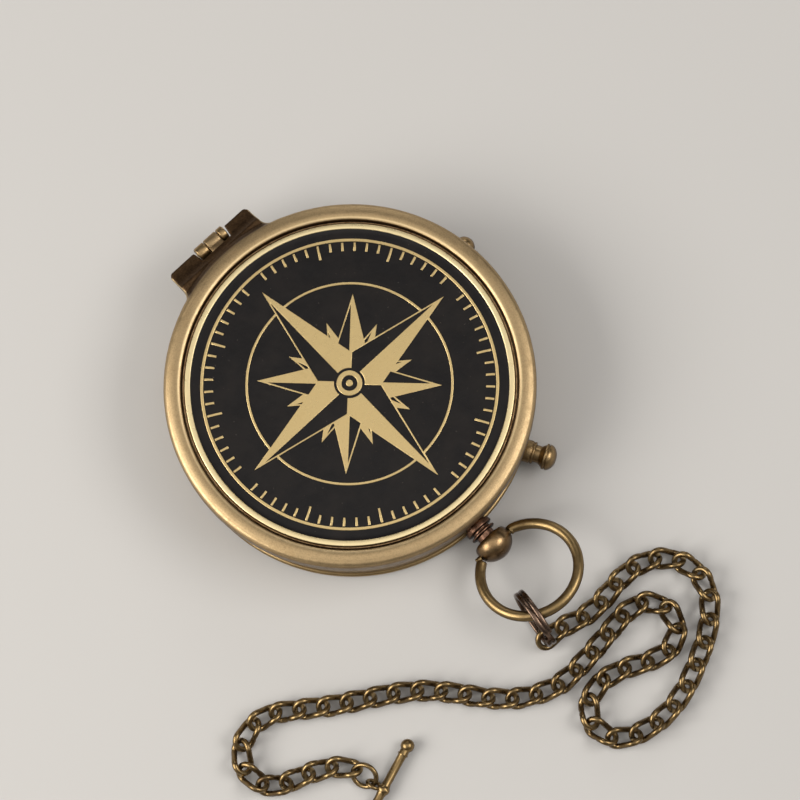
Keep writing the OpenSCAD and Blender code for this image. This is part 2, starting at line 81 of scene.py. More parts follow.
def new_object(name, verts, faces, smooth=True, attrs=None, angle=None):
    """A mesh object; verts are in metres."""
    me = bpy.data.meshes.new(name)
    me.from_pydata([tuple(float(c) for c in v) for v in verts], [], faces)
    me.validate()
    me.update()
    if attrs:
        for key, vals in attrs.items():
            a = me.attributes.new(key, "FLOAT", "POINT")
            a.data.foreach_set("value", np.asarray(vals, np.float32))
    for p in me.polygons:
        p.use_smooth = smooth
    if smooth and angle is not None:
        me.set_sharp_from_angle(angle=math.radians(angle))
    ob = bpy.data.objects.new(name, me)
    bpy.context.scene.collection.objects.link(ob)
    return ob


def frames_along(pts, closed):
    """Tangents and a rotation-minimising pair of normals at each point."""
    n = len(pts)
    if closed:
        tan = [(pts[(i + 1) % n] - pts[i - 1]) for i in range(n)]
    else:
        tan = [pts[min(i + 1, n - 1)] - pts[max(i - 1, 0)] for i in range(n)]
    tan = [t / np.linalg.norm(t) for t in tan]
    a = np.array([0, 0, 1.0])
    if abs(tan[0] @ a) > 0.9:
        a = np.array([1.0, 0, 0])
    u = a - (a @ tan[0]) * tan[0]
    u /= np.linalg.norm(u)
    us = [u]
    for i in range(1, n):
        v = us[-1] - (us[-1] @ tan[i]) * tan[i]
        us.append(v / np.linalg.norm(v))
    if closed:
        end = us[-1] - (us[-1] @ tan[0]) * tan[0]
        end /= np.linalg.norm(end)
        ang = math.atan2(np.cross(end, us[0]) @ tan[0], end @ us[0])
        for i in range(n):
            a = ang * i / n
            w = np.cross(tan[i], us[i])
            us[i] = us[i] * math.cos(a) + w * math.sin(a)
    vs = [np.cross(tan[i], us[i]) for i in range(n)]
    return tan, us, vs


def sweep(pts, radius, sides=14, closed=False, shape=(1.0, 1.0), power=2.0, radii=None, up=None, cap=0.22):
    """A tube along pts; radii scales it point by point; open ends get a small chamfer."""
    pts = [np.asarray(p, float) for p in pts]
    tan, us, vs = frames_along(pts, closed)
    if up is not None:
        for i in range(len(pts)):
            u = np.asarray(up[i] if len(np.shape(up)) > 1 else up, float)
            u = u - (u @ tan[i]) * tan[i]
            us[i] = u / np.linalg.norm(u)
            vs[i] = np.cross(tan[i], us[i])
    verts, faces = [], []
    ring = []
    for k in range(sides):
        a = 2 * math.pi * k / sides
        c, s = math.cos(a), math.sin(a)
        f = (abs(c) ** power + abs(s) ** power) ** (-1 / power)
        ring.append((c * f * shape[0], s * f * shape[1]))
    rows = []
    scale = list(radii) if radii is not None else [1.0] * len(pts)
    items = [(pts[i], us[i], vs[i], radius * scale[i]) for i in range(len(pts))]
    if not closed:
        c = radius * cap
        items.insert(0, (pts[0], us[0], vs[0], radius * scale[0] - c))
        items[1] = (pts[0] + tan[0] * c, us[0], vs[0], radius * scale[0])
        items[-1] = (pts[-1] - tan[-1] * c, us[-1], vs[-1], radius * scale[-1])
        items.append((pts[-1], us[-1], vs[-1], radius * scale[-1] - c))
    for p, u, v, r in items:
        rows.append(len(verts))
        for a, b in ring:
            verts.append(p + u * a * r + v * b * r)
    m = len(rows)
    for i in range(m if closed else m - 1):
        j = (i + 1) % m
        for k in range(sides):
            l = (k + 1) % sides
            faces.append((rows[i] + k, rows[i] + l, rows[j] + l, rows[j] + k))
    if not closed:
        faces.append(tuple(rows[0] + k for k in reversed(range(sides))))
        faces.append(tuple(rows[-1] + k for k in range(sides)))
    return verts, faces


def fillet(profile, r=0.08, n=3):
    """Rounds the corners of an open polyline."""
    P = [np.array(p, float) for p in profile]
    out = [P[0]]
    for i in range(1, len(P) - 1):
        a, b = P[i - 1] - P[i], P[i + 1] - P[i]
        la, lb = np.linalg.norm(a), np.linalg.norm(b)
        if la < 1e-6 or lb < 1e-6:
            continue
        bend = math.degrees(math.acos(max(-1, min(1, float(a @ b) / la / lb))))
        if bend > 165:
            out.append(P[i])
            continue
        d = min(r, 0.45 * la, 0.45 * lb)
        p0, p1 = P[i] + a / la * d, P[i] + b / lb * d
        for k in range(n + 1):
            t = k / n
            out.append((1 - t) ** 2 * p0 + 2 * t * (1 - t) * P[i] + t * t * p1)
    out.append(P[-1])
    return [tuple(p) for p in out]


def catmull(points, fine=6):
    P = [np.array(p, float) for p in points]
    n, out = len(P), []
    for i in range(n - 1):
        a = P[i - 1] if i > 0 else 2 * P[0] - P[1]
        b, c = P[i], P[i + 1]
        d = P[i + 2] if i + 2 < n else 2 * P[-1] - P[-2]
        for j in range(fine):
            t = j / fine
            out.append(0.5 * (2 * b + (c - a) * t + (2 * a - 5 * b + 4 * c - d) * t * t
                              + (3 * b - a - 3 * c + d) * t ** 3))
    out.append(P[-1])
    return np.array(out)


def lathe(profile, sides=128, origin=(0, 0, 0), axis=(0, 0, 1)):
    """Turns a profile of (radius, distance along the axis), all in mm, about an axis."""
    w = np.array(axis, float)
    w /= np.linalg.norm(w)
    u = np.cross(w, [0, 0, 1.0]) if abs(w[2]) < 0.9 else np.array([1.0, 0, 0])
    u /= np.linalg.norm(u)
    v = np.cross(w, u)
    o = np.array(origin, float)
    verts, faces, rows = [], [], []
    for r, z in profile:
        if abs(r) < 1e-9:
            rows.append([len(verts)])
            verts.append((o + w * z) * MM)
        else:
            rows.append([len(verts) + k for k in range(sides)])
            for k in range(sides):
                a = 2 * math.pi * k / sides
                verts.append((o + w * z + r * (u * math.cos(a) + v * math.sin(a))) * MM)
    for i in range(len(rows) - 1):
        a, b = rows[i], rows[i + 1]
        for k in range(sides):
            l = (k + 1) % sides
            if len(a) == 1 and len(b) == 1:
                continue
            if len(a) == 1:
                faces.append((a[0], b[l], b[k]))
            elif len(b) == 1:
                faces.append((a[k], a[l], b[0]))
            else:
                faces.append((a[k], a[l], b[l], b[k]))
    return verts, faces


def radial_lathe(profile, bearing, z=5.0, sides=96, r=0.08, n=3):
    """A profile of (distance from the case's centre, radius), turned about a radial axis of the case."""
    p = fillet(profile, r, n)
    a = math.radians(bearing)
    return lathe([(q[1], q[0]) for q in p], sides, (0, 0, z), (math.cos(a), math.sin(a), 0))


def slab(points, z0, z1, bevel=0.0):
    """A convex outline (counter-clockwise, mm) as a thin solid with a bevelled top."""
    P = np.array(points, float)
    c = P.mean(0)
    k = 1 - bevel / max(np.linalg.norm(P - c, axis=1).mean(), 1e-9)
    rows = [(P, z0), (P, z1 - bevel), (c + (P - c) * k, z1)] if bevel else [(P, z0), (P, z1)]
    v = [np.array([x, y, z]) * MM for Q, z in rows for x, y in Q]
    n, f = len(P), []
    for i in range(len(rows) - 1):
        for j in range(n):
            f.append((i * n + j, i * n + (j + 1) % n, (i + 1) * n + (j + 1) % n, (i + 1) * n + j))
    f.append(tuple(reversed(range(n))))
    f.append(tuple((len(rows) - 1) * n + j for j in range(n)))
    return v, f


def join_lists(parts):
    verts, faces, attrs = [], [], {}
    for part in parts:
        v, f = part[0], part[1]
        o = len(verts)
        verts += list(v)
        faces += [tuple(i + o for i in q) for q in f]
        extra = part[2] if len(part) > 2 else {}
        for key, val in extra.items():
            attrs.setdefault(key, [0.0] * o)
            attrs[key] += [val] * len(v) if np.isscalar(val) else list(val)
        for key in attrs:
            if len(attrs[key]) < len(verts):
                attrs[key] += [0.0] * (len(verts) - len(attrs[key]))
    return verts, faces, attrs


def piece(name, parts, mat, body, nodes, angle=50):
    """One visual piece that stands for CAD nodes."""
    v, f, a = join_lists(parts)
    ob = new_object(name, v, f, attrs=a, angle=angle)
    ob.data.materials.append(mat)
    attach(ob, body)
    if nodes:
        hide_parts(*nodes)
    return ob


def grime(ob, lo, hi):
    """Painted shade: sides and undersides are made darker than the tops, by the direction of each vertex normal."""
    me = ob.data
    me.update()
    n = np.zeros(len(me.vertices) * 3, np.float32)
    me.vertices.foreach_get("normal", n)
    t = np.clip((n.reshape(-1, 3)[:, 2] - lo) / (hi - lo), 0, 1)
    a = me.attributes.new("grime", "FLOAT", "POINT")
    a.data.foreach_set("value", (1 - t * t * (3 - 2 * t)).astype(np.float32))
    return ob


# ------------------------------------------------------------------ materials


class Mat:
    """Small helper round a node tree; its coordinates are the row frame in mm."""

    def __init__(self, name):
        self.m = bpy.data.materials.new(name)
        self.m.use_nodes = True
        self.t = self.m.node_tree
        for n in list(self.t.nodes):
            self.t.nodes.remove(n)
        self.out = self.t.nodes.new("ShaderNodeOutputMaterial")
        self.b = self.t.nodes.new("ShaderNodeBsdfPrincipled")
        self.t.links.new(self.b.outputs[0], self.out.inputs[0])
        tc = self.t.nodes.new("ShaderNodeTexCoord")
        mp = self.t.nodes.new("ShaderNodeMapping")
        mp.inputs["Scale"].default_value = (1000, 1000, 1000)
        self.t.links.new(tc.outputs["Object"], mp.inputs[0])
        self.co = mp.outputs[0]

    def node(self, kind, **props):
        n = self.t.nodes.new(kind)
        for k, v in props.items():
            setattr(n, k, v)
        return n

    def link(self, a, b):
        self.t.links.new(a, b)

    def put(self, sock, val):
        if isinstance(val, bpy.types.NodeSocket):
            self.t.links.new(val, sock)
        else:
            sock.default_value = val

    def noise(self, scale, detail=4, rough=0.55, co=None, dist=0.0):
        n = self.node("ShaderNodeTexNoise")
        n.inputs["Scale"].default_value = scale
        n.inputs["Detail"].default_value = detail
        n.inputs["Roughness"].default_value = rough
        n.inputs["Distortion"].default_value = dist
        self.link(co or self.co, n.inputs["Vector"])
        return n.outputs["Fac"]

    def voronoi(self, scale, co=None, feature="F1"):
        n = self.node("ShaderNodeTexVoronoi", feature=feature)
        n.inputs["Scale"].default_value = scale
        self.link(co or self.co, n.inputs["Vector"])
        return n.outputs["Distance"]

    def ramp(self, fac, a, b, lo=0.0, hi=1.0):
        n = self.node("ShaderNodeMapRange", clamp=True)
        n.interpolation_type = "SMOOTHSTEP"
        self.put(n.inputs["Value"], fac)
        n.inputs["From Min"].default_value = a
        n.inputs["From Max"].default_value = b
        n.inputs["To Min"].default_value = lo
        n.inputs["To Max"].default_value = hi
        return n.outputs["Result"]

    def math(self, op, a, b=0.0, clamp=False):
        n = self.node("ShaderNodeMath", operation=op, use_clamp=clamp)
        self.put(n.inputs[0], a)
        self.put(n.inputs[1], b)
        return n.outputs[0]

    def mix(self, fac, a, b, blend="MIX"):
        n = self.node("ShaderNodeMix", data_type="RGBA", blend_type=blend)
        self.put(n.inputs[0], fac)
        for s, val in ((n.inputs[6], a), (n.inputs[7], b)):
            if isinstance(val, bpy.types.NodeSocket):
                self.link(val, s)
            else:
                s.default_value = (*val, 1) if len(val) == 3 else val
        return n.outputs[2]

    def attr(self, name):
        n = self.node("ShaderNodeAttribute", attribute_name=name)
        return n.outputs["Fac"]

    def xyz(self):
        n = self.node("ShaderNodeSeparateXYZ")
        self.link(self.co, n.inputs[0])
        return n.outputs

    def polar(self, kr, ka):
        """Coordinates stretched round the Z axis: radius*kr, angle*ka, height*kr."""
        x, y, z = self.xyz()
        r = self.math("SQRT", self.math("ADD", self.math("MULTIPLY", x, x), self.math("MULTIPLY", y, y)))
        a = self.math("ARCTAN2", y, x)
        c = self.node("ShaderNodeCombineXYZ")
        self.link(self.math("MULTIPLY", r, kr), c.inputs[0])
        self.link(self.math("MULTIPLY", a, ka), c.inputs[1])
        self.link(self.math("MULTIPLY", z, kr), c.inputs[2])
        return c.outputs[0], r, a

    def bump(self, height, dist, strength=1.0, normal=None):
        n = self.node("ShaderNodeBump")
        n.inputs["Strength"].default_value = strength
        n.inputs["Distance"].default_value = dist * MM
        self.put(n.inputs["Height"], height)
        if normal is not None:
            self.link(normal, n.inputs["Normal"])
        return n.outputs[0]


def aged_metal(name, base, dark, rough=0.34, patina=(0.50, 0.72), fine=2.2, bump=0.010, pits=0.02, tone=False,
               grain=None, worn=None, hook=None, amount=1.0, grit=0.2, spots=0.5, side_shade_strength=0.8):
    """Aged brass or bronze: base colour, darker patina in patches, fine mottling, pits and grain, and painted shade on
    sides and undersides.
    """
    m = Mat(name)
    m.b.inputs["Metallic"].default_value = 1.0
    low = m.noise(0.13, 5, 0.6)
    mid = m.noise(0.9, 5, 0.65, dist=0.4)
    small = m.noise(fine, 4, 0.6)
    mask = m.ramp(m.math("ADD", m.math("MULTIPLY", low, 0.55), m.math("MULTIPLY", mid, 0.45)), *patina)
    mask = m.math("MULTIPLY", mask, amount)
    col = m.mix(mask, base, dark)
    speck = m.ramp(small, 0.4, 0.75)
    col = m.mix(m.math("MULTIPLY", speck, grit), col, tuple(c * 0.62 for c in dark))
    pit = m.ramp(m.voronoi(1.4), 0.10, 0.04)
    some = m.ramp(m.noise(0.5, 2), 0.45, 0.6)
    pit = m.math("MULTIPLY", pit, some)
    col = m.mix(m.math("MULTIPLY", pit, spots), col, tuple(c * 0.5 for c in dark))
    # painted shade: sides and undersides darkened by the vertex attribute set from the normals
    col = m.mix(m.math("MULTIPLY", m.attr("grime"), side_shade_strength), col, tuple(c * 0.5 for c in dark))
    if tone:
        col = m.mix(m.math("MULTIPLY", m.attr("tone"), 0.35), col, tuple(c * 0.5 for c in dark))
    if worn is not None:
        col = m.mix(m.attr("edge"), col, worn)
    if hook is not None:
        col = hook(m, col)
    m.link(col, m.b.inputs["Base Color"])
    r = m.ramp(mid, 0.3, 0.75, rough - 0.06, rough + 0.08)
    r = m.math("ADD", r, m.math("MULTIPLY", mask, 0.08))
    m.link(r, m.b.inputs["Roughness"])
    h = m.math("ADD", m.math("MULTIPLY", small, 0.6), m.math("MULTIPLY", m.noise(fine * 5, 3, 0.5), 0.4))
    nrm = m.bump(h, bump)
    nrm = m.bump(m.math("MULTIPLY", pit, -1.0), pits, normal=nrm)
    if grain:
        co, _, _ = m.polar(*grain)
        nrm = m.bump(m.noise(1.0, 3, 0.6, co=co), bump * 0.8, normal=nrm)
    m.link(nrm, m.b.inputs["Normal"])
    return m.m


def lid_hook(m, col):
    """Painted shade: the tab, the outer side of the rim and the foot of the skirt are darker, with a copper tint in the
    painted shade; a painted highlight lies along the lid's bright edges.
    """
    col = m.mix(m.attr("patina"), col, m.mix(m.ramp(m.noise(2.2, 4), 0.3, 0.75), (0.105, 0.062, 0.031), (0.062, 0.035, 0.019)))
    # painted highlight colour where the lid's edge attribute is set
    col = m.mix(m.attr("edge"), col, (0.90, 0.70, 0.40))
    return col


mat_lid = aged_metal("lid_brass", (0.50, 0.362, 0.197), (0.35, 0.24, 0.12), rough=0.41, fine=3.8, bump=0.017,
                     grain=(5.0, 3.0), hook=lid_hook, amount=0.5, grit=0.45, spots=0.7)
mat_case = aged_metal("case_brass", (0.43, 0.30, 0.145), (0.22, 0.14, 0.065), rough=0.36, fine=3.2, grain=(5.0, 3.0), amount=0.7,
                      grit=0.3)
mat_small = aged_metal("small_brass", (0.43, 0.295, 0.145), (0.17, 0.105, 0.05), rough=0.34, fine=3.4, bump=0.012, amount=0.85,
                       grit=0.4, side_shade_strength=0.95)
mat_ball = aged_metal("stem_brass", (0.37, 0.245, 0.125), (0.13, 0.075, 0.038), rough=0.33, fine=3.4, bump=0.012, amount=0.9,
                      grit=0.45, side_shade_strength=0.97)
mat_dark = aged_metal("dark_brass", (0.30, 0.195, 0.09), (0.12, 0.07, 0.034), rough=0.38)
mat_copper = aged_metal("dark_copper", (0.275, 0.152, 0.10), (0.045, 0.024, 0.016), rough=0.32, fine=3.2, grit=0.3, side_shade_strength=0.9)
mat_bright = aged_metal("bright_brass", (0.76, 0.56, 0.28), (0.50, 0.35, 0.16), rough=0.28, grain=(6.0, 3.0), amount=0.4)
mat_bow = aged_metal("bow_brass", (0.315, 0.218, 0.10), (0.13, 0.08, 0.036), rough=0.35, fine=3.0, bump=0.006, amount=0.7,
                     side_shade_strength=0.95)


mat_split = aged_metal("split_ring_metal", (0.175, 0.118, 0.085), (0.062, 0.042, 0.036), rough=0.27, fine=3.0, bump=0.006,
                       amount=0.8, side_shade_strength=0.85)


def chain_hook(m, col):
    return m.mix(m.attr("edge"), col, (0.62, 0.47, 0.25))


mat_chain = aged_metal("chain_bronze", (0.30, 0.205, 0.092), (0.10, 0.058, 0.028), rough=0.31, fine=3.0, bump=0.006, tone=True,
                       hook=chain_hook, amount=0.8, side_shade_strength=0.92)


def relief_hook(m, col):
    """The border is cleaner than the pattern; the groove outside it is dark and its bead a dull copper."""
    col = m.mix(m.attr("clean"), col, (0.97, 0.80, 0.46))
    col = m.mix(m.attr("bead"), col, m.mix(m.ramp(m.noise(0.9, 4), 0.35, 0.65), (0.34, 0.22, 0.115), (0.17, 0.095, 0.045)))
    return m.mix(m.attr("groove"), col, (0.035, 0.018, 0.009))


mat_relief = aged_metal("relief_brass", (0.76, 0.575, 0.275), (0.60, 0.43, 0.195), rough=0.32, fine=4.0, hook=relief_hook,
                        amount=0.5, grit=0.12, spots=0.35)


def enamel_mat():
    m = Mat("enamel")
    m.b.inputs["Roughness"].default_value = 0.16
    m.b.inputs["Specular IOR Level"].default_value = 0.22
    h = m.math("ADD", m.noise(0.28, 3, 0.5), m.math("MULTIPLY", m.noise(2.2, 2, 0.5), 0.05))
    nrm = m.bump(h, 0.05)
    pin = m.ramp(m.voronoi(0.55), 0.07, 0.03)
    pin = m.math("MULTIPLY", pin, m.ramp(m.noise(0.8, 2), 0.42, 0.5))
    nrm = m.bump(m.math("MULTIPLY", pin, -1.0), 0.04, normal=nrm)
    m.link(nrm, m.b.inputs["Normal"])
    dust = m.math("MULTIPLY", m.ramp(m.voronoi(1.9), 0.075, 0.045), m.ramp(m.noise(1.3, 2), 0.52, 0.6))
    col = m.mix(m.ramp(m.noise(0.2, 4), 0.35, 0.7), (0.0060, 0.0052, 0.0055), (0.0105, 0.0085, 0.008))
    col = m.mix(pin, col, (0.05, 0.04, 0.032))
    col = m.mix(m.math("MULTIPLY", dust, 0.8), col, (0.16, 0.125, 0.08))
    m.link(col, m.b.inputs["Base Color"])
    return m.m


mat_enamel = enamel_mat()


def steel_mat(name, col, rough=0.28, hook=None):
    m = Mat(name)
    m.b.inputs["Metallic"].default_value = 1.0
    c = m.mix(m.ramp(m.noise(1.5, 4), 0.3, 0.7), col, tuple(x * 0.7 for x in col))
    if hook is not None:
        c = hook(m, c)
    m.link(c, m.b.inputs["Base Color"])
    m.link(m.ramp(m.noise(2.5, 4), 0.3, 0.7, rough - 0.06, rough + 0.08), m.b.inputs["Roughness"])
    m.link(m.bump(m.noise(9, 3), 0.004), m.b.inputs["Normal"])
    return m.m


mat_steel = steel_mat("steel", (0.55, 0.55, 0.56))
mat_blued = steel_mat("blued_steel", (0.05, 0.07, 0.16), 0.22)
mat_needle = steel_mat("needle_steel", (0.055, 0.085, 0.24), 0.24, lambda m, c: m.mix(m.attr("north"), c, (0.50, 0.035, 0.025)))


def glass_mat():
    m = Mat("crystal")
    m.b.inputs["Base Color"].default_value = (0.98, 0.99, 0.99, 1)
    m.b.inputs["Transmission Weight"].default_value = 1.0
    m.b.inputs["IOR"].default_value = 1.45
    m.link(m.ramp(m.noise(0.5, 3), 0.4, 0.8, 0.0, 0.03), m.b.inputs["Roughness"])
    return m.m


mat_glass = glass_mat()


def dial_mat():
    m = Mat("dial_print")
    m.b.inputs["Roughness"].default_value = 0.6
    fox = m.ramp(m.noise(0.18, 5, 0.65), 0.5, 0.8)
    col = m.mix(fox, (0.76, 0.68, 0.50), (0.58, 0.47, 0.29))
    col = m.mix(m.ramp(m.noise(3.0, 4), 0.5, 0.8, 0, 0.25), col, (0.45, 0.36, 0.22))
    ink = m.ramp(m.noise(5.0, 3), 0.25, 0.6, 0.82, 1.0)
    col = m.mix(m.math("MULTIPLY", m.attr("ink"), ink), col, (0.035, 0.026, 0.022))
    col = m.mix(m.math("MULTIPLY", m.attr("red"), ink), col, (0.33, 0.035, 0.022))
    m.link(col, m.b.inputs["Base Color"])
    m.link(m.bump(m.noise(6, 3), 0.008), m.b.inputs["Normal"])
    return m.m


mat_dial = dial_mat()


def scale_hook(m, col):
    return m.mix(m.attr("ink"), col, (0.02, 0.016, 0.013))


mat_scale = aged_metal("scale_metal", (0.68, 0.61, 0.46), (0.44, 0.36, 0.22), rough=0.4, grain=(7.0, 2.0), hook=scale_hook,
                       amount=0.6)


def jewel_mat():
    m = Mat("jewel")
    m.link(m.mix(m.ramp(m.noise(4, 2), 0.4, 0.7), (0.5, 0.03, 0.06), (0.3, 0.01, 0.03)), m.b.inputs["Base Color"])
    m.b.inputs["Roughness"].default_value = 0.08
    m.b.inputs["Transmission Weight"].default_value = 0.5
    return m.m


mat_jewel = jewel_mat()

MATS = {
    "case_body": mat_case, "hinge_lug": mat_case, "hinge_pin": mat_bright, "pendant_neck": mat_copper,
    "pendant_nut": mat_dark, "pendant_ball": mat_ball, "dial_pillars": mat_bright, "dial_plate": mat_bright,
    "dial_card": mat_dial, "graduation_ring": mat_scale, "dial_screws": mat_blued, "pivot_stud": mat_bright,
    "pivot_pin": mat_steel, "spacer_ring": mat_case, "crystal": mat_glass, "bezel_ring": mat_bright,
    "arrest_bush": mat_small, "check_bush": mat_small, "lift_bracket": mat_bright, "brake_bracket": mat_bright,
    "fulcrum_pins": mat_steel, "lid_shell": mat_lid, "lid_plate": mat_relief, "lid_enamel": mat_enamel,
    "bow_ring": mat_bow, "split_ring": mat_split, "chain_lead": mat_chain, "chain_links": mat_chain,
    "chain_end_ring": mat_chain, "t_bar": mat_chain, "needle": mat_needle, "needle_cap": mat_bright,
    "cap_jewel": mat_jewel, "lift_sleeve": mat_bright, "lift_lever": mat_bright, "arrest_knob": mat_small,
    "arrest_clip": mat_steel, "check_button": mat_small, "check_clip": mat_steel, "check_spring": mat_steel,
    "brake_lever": mat_bright,
}
for name, mat in MATS.items():
    me = N[name].data
    me.materials.clear()
    me.materials.append(mat)

# ------------------------------------------------------------------ lid: rim and tab as one smooth casting

TAB_TOP = catmull([(34, 18.2), (36.2, 18.05), (37.3, 17.5), (38.2, 16.62), (39.1, 15.75), (40.1, 15.1), (41.3, 14.68),
                   (42.4, 14.46), (43.4, 14.4)], 8)


def tab_top(y):
    return float(np.interp(y, TAB_TOP[:, 0], TAB_TOP[:, 1]))


def rim_top(r):
    if r >= 37.5:
        return 17.1 - 8 * (r - 37.5)
    return 17.1 + math.sqrt(max(1.69 - (r - 36.2) ** 2, 0))


def smax(a, b, k):
    h = max(k - abs(a - b), 0) / k
    return max(a, b) + h * h * k / 4


HY = 41.8               # hinge axis


def tab_outline(side):
    """Half outline of the lid's edge at the hinge, from the notch round to the round rim (x >= 0)."""
    n0 = HY - 1.7
    p = [(x, n0) for x in np.linspace(0, 3.7, 9)] + [(3.84, n0 + 0.03), (3.9, n0 + 0.1)]
    p += [(3.9 + 0.12 * (y - n0 - 0.1), y) for y in np.linspace(n0 + 0.3, 42.3, 8)]
    p += [(4.24, 42.48), (4.36, 42.57), (4.55, 42.6)]
    p += [(x, 42.6) for x in np.linspace(5.1, side - 1.1, 9)]
    p += [(side - 0.8, 42.57), (side - 0.55, 42.45), (side - 0.2, 42.05), (side - 0.04, 41.8), (side, 41.5)]
    yc = 3.6 + math.sqrt(37.5 ** 2 - (side + 3.6) ** 2)
    p += [(side, y) for y in np.linspace(41.0, yc + 0.4, 6)]
    p += [(side + 3.6 - 3.6 * math.cos(a), yc - 3.6 * math.sin(a)) for a in np.linspace(0, math.pi / 2, 14)]
    return p


outline = [(-x, y) for x, y in reversed(tab_outline(11.1)[1:])] + tab_outline(10.2)
edge_line = np.array(outline)


def edge_distance(x, y):
    p = np.array([x, y])
    a, b = edge_line[:-1], edge_line[1:]
    d = b - a
    t = np.clip(((p - a) * d).sum(1) / np.maximum((d * d).sum(1), 1e-12), 0, 1)
    return float(np.linalg.norm(a + d * t[:, None] - p, axis=1).min())


def lid_columns():
    cols = []
    last = None
    for x, y in outline:                       # from -X to +X: the angle falls
        r, a = math.hypot(x, y), math.atan2(y, x)
        if last is not None and a > last - 4e-4:
            a = last - 4e-4
        last = a
        cols.append((a, max(r, 37.5), True))
    first, end = cols[0][0], cols[-1][0]
    span = 2 * math.pi - (first - end)
    n = 330
    for k in range(1, n):
        cols.append((end - span * k / n, 37.5, False))
    return cols


def lid_mesh():
    inner = catmull([(33.8, 17.3), (33.8, 17.75), (33.83, 18.02), (33.96, 18.26), (34.22, 18.44), (34.7, 18.57), (35.3, 18.6),
                     (35.9, 18.52), (36.3, 18.42)], 3)
    under = fillet([(35.6, 13.92), (35.6, 15.8), (33.6, 15.8), (33.4, 15.95), (32.6, 15.95), (32.4, 15.8), (20.2, 15.8),
                    (20.0, 15.9), (19.6, 15.9), (19.4, 15.8), (3, 15.8), (0, 15.8)], 0.12, 3)
    verts, rows, patina, edge = [], [], [], []
    nphi = 30
    for a, R, tab in lid_columns():
        ca, sa = math.cos(a), math.sin(a)
        e = R - 37.5
        prof = [(33.0, 17.0, 0, 0.0), (33.8, 17.0, 0, 0.0)]
        for r, z in inner:
            # painted highlight: a thin bright line along the band's inner edge, near r 34.4
            prof.append((r, z, max(0.0, min(1.0, (34.12 - r) / 0.1)), math.exp(-((r - 34.42) / 0.17) ** 2) * 0.8))
        for k in range(1, nphi + 1):
            u = k / nphi
            phi = math.radians(75 * (1 - u))
            r = 36.2 + 1.3 * math.cos(phi) + e * u
            z = 17.1 + 1.3 * math.sin(phi)
            # painted shade: the rim darkens towards its lower, outer side
            patina_shade, ed = max(0.0, min(1.0, (0.88 - (z - 17.1)) / 0.88)) * 0.78, 0.0
            if tab:
                x, y = r * ca, r * sa
                d = edge_distance(x, y)
                zt = tab_top(max(y, min(r, 38.5)))
                ro = min(0.5, 0.5 * (zt - 13.95))
                if d < ro:
                    zt -= ro - math.sqrt(max(ro * ro - (ro - d) ** 2, 0))
                z = smax(rim_top(r), zt, 0.9)
                # painted shade on the tab, growing from the rim outward
                w = max(0.0, min(1.0, (r - 36.6) / 1.1))
                w = w * w * (3 - 2 * w)
                s = min(1.0, e / 0.8)
                patina_shade = patina_shade + (1 - patina_shade) * w * s
                # painted highlight along the tab's side corners
                if (x > 10.0 or x < -10.9) and d < 0.45:
                    ed = (1 - d / 0.45) * 0.6 * s
            prof.append((r, z, patina_shade, ed))
        zt = prof[-1][1]
        patina_shade = prof[-1][2]
        zb = min(14.4, zt - 0.06)
        # painted shade on the skirt wall, its foot and underside
        for k in (1, 2, 3, 4):
            prof.append((R, zt + (zb - zt) * k / 4, max(patina_shade, 0.72), 0.0))
        low = 13.9 if not tab else 13.92
        prof.append((R - 0.12, zb - (zb - low) * 0.7, max(patina_shade, 0.8), 0.0))
        prof.append((R - 0.38, low, max(patina_shade, 0.8), 0.0))
        prof.append((36.6, 13.9, 0.8, 0.0))
        for r, z in under:
            prof.append((r, z, 0.0, 0.0))
        row = []
        for r, z, q, w in prof[:-1]:
            row.append(len(verts))
            verts.append((r * ca * MM, r * sa * MM, z * MM))
            patina.append(q)
            edge.append(w)
        rows.append(row)
    faces = []
    c = len(verts)
    verts.append((0, 0, 15.8 * MM))
    patina.append(0.0)
    edge.append(0.0)
    m = len(rows)
    for i in range(m):
        a, b = rows[i], rows[(i + 1) % m]
        for k in range(len(a) - 1):
            faces.append((a[k], a[k + 1], b[k + 1], b[k]))
        faces.append((a[-1], c, b[-1]))
    return verts, faces, {"patina": patina, "edge": edge}


def barrel(x0, x1, chamfer=0.18, r=1.5, sides=48):
    p = [(0, x0), (0.62, x0), (0.62, x0), (r - chamfer, x0), (r, x0 + chamfer), (r, x1 - chamfer), (r - chamfer, x1), (0, x1)]
    return lathe(fillet(p, 0.06, 2), sides, (0, HY, 13.75), (1, 0, 0))


def box_mesh(x0, x1, y0, y1, z0, z1, c=0.1):
    pts = [(x0 + c, y0), (x1 - c, y0), (x1, y0 + c), (x1, y1 - c), (x1 - c, y1), (x0 + c, y1), (x0, y1 - c), (x0, y0 + c)]
    return slab(pts, z0, z1, c)


# painted shade on the block behind the hinge barrel
dark = {"patina": 0.7, "edge": 0.0}
v, f, a = lid_mesh()
lid_ob = piece("lid_casting", [(v, f, a),
                               (*barrel(-1.15, 2.05), {"patina": 0.3, "edge": 0.0}),
                               (*box_mesh(-1.15, 2.05, 37.4, HY, 13.95, 14.95), dark)],
               mat_lid, "lid", ["lid_shell"], angle=60)

# ------------------------------------------------------------------ lid: plate, ring, raised pattern, enamel


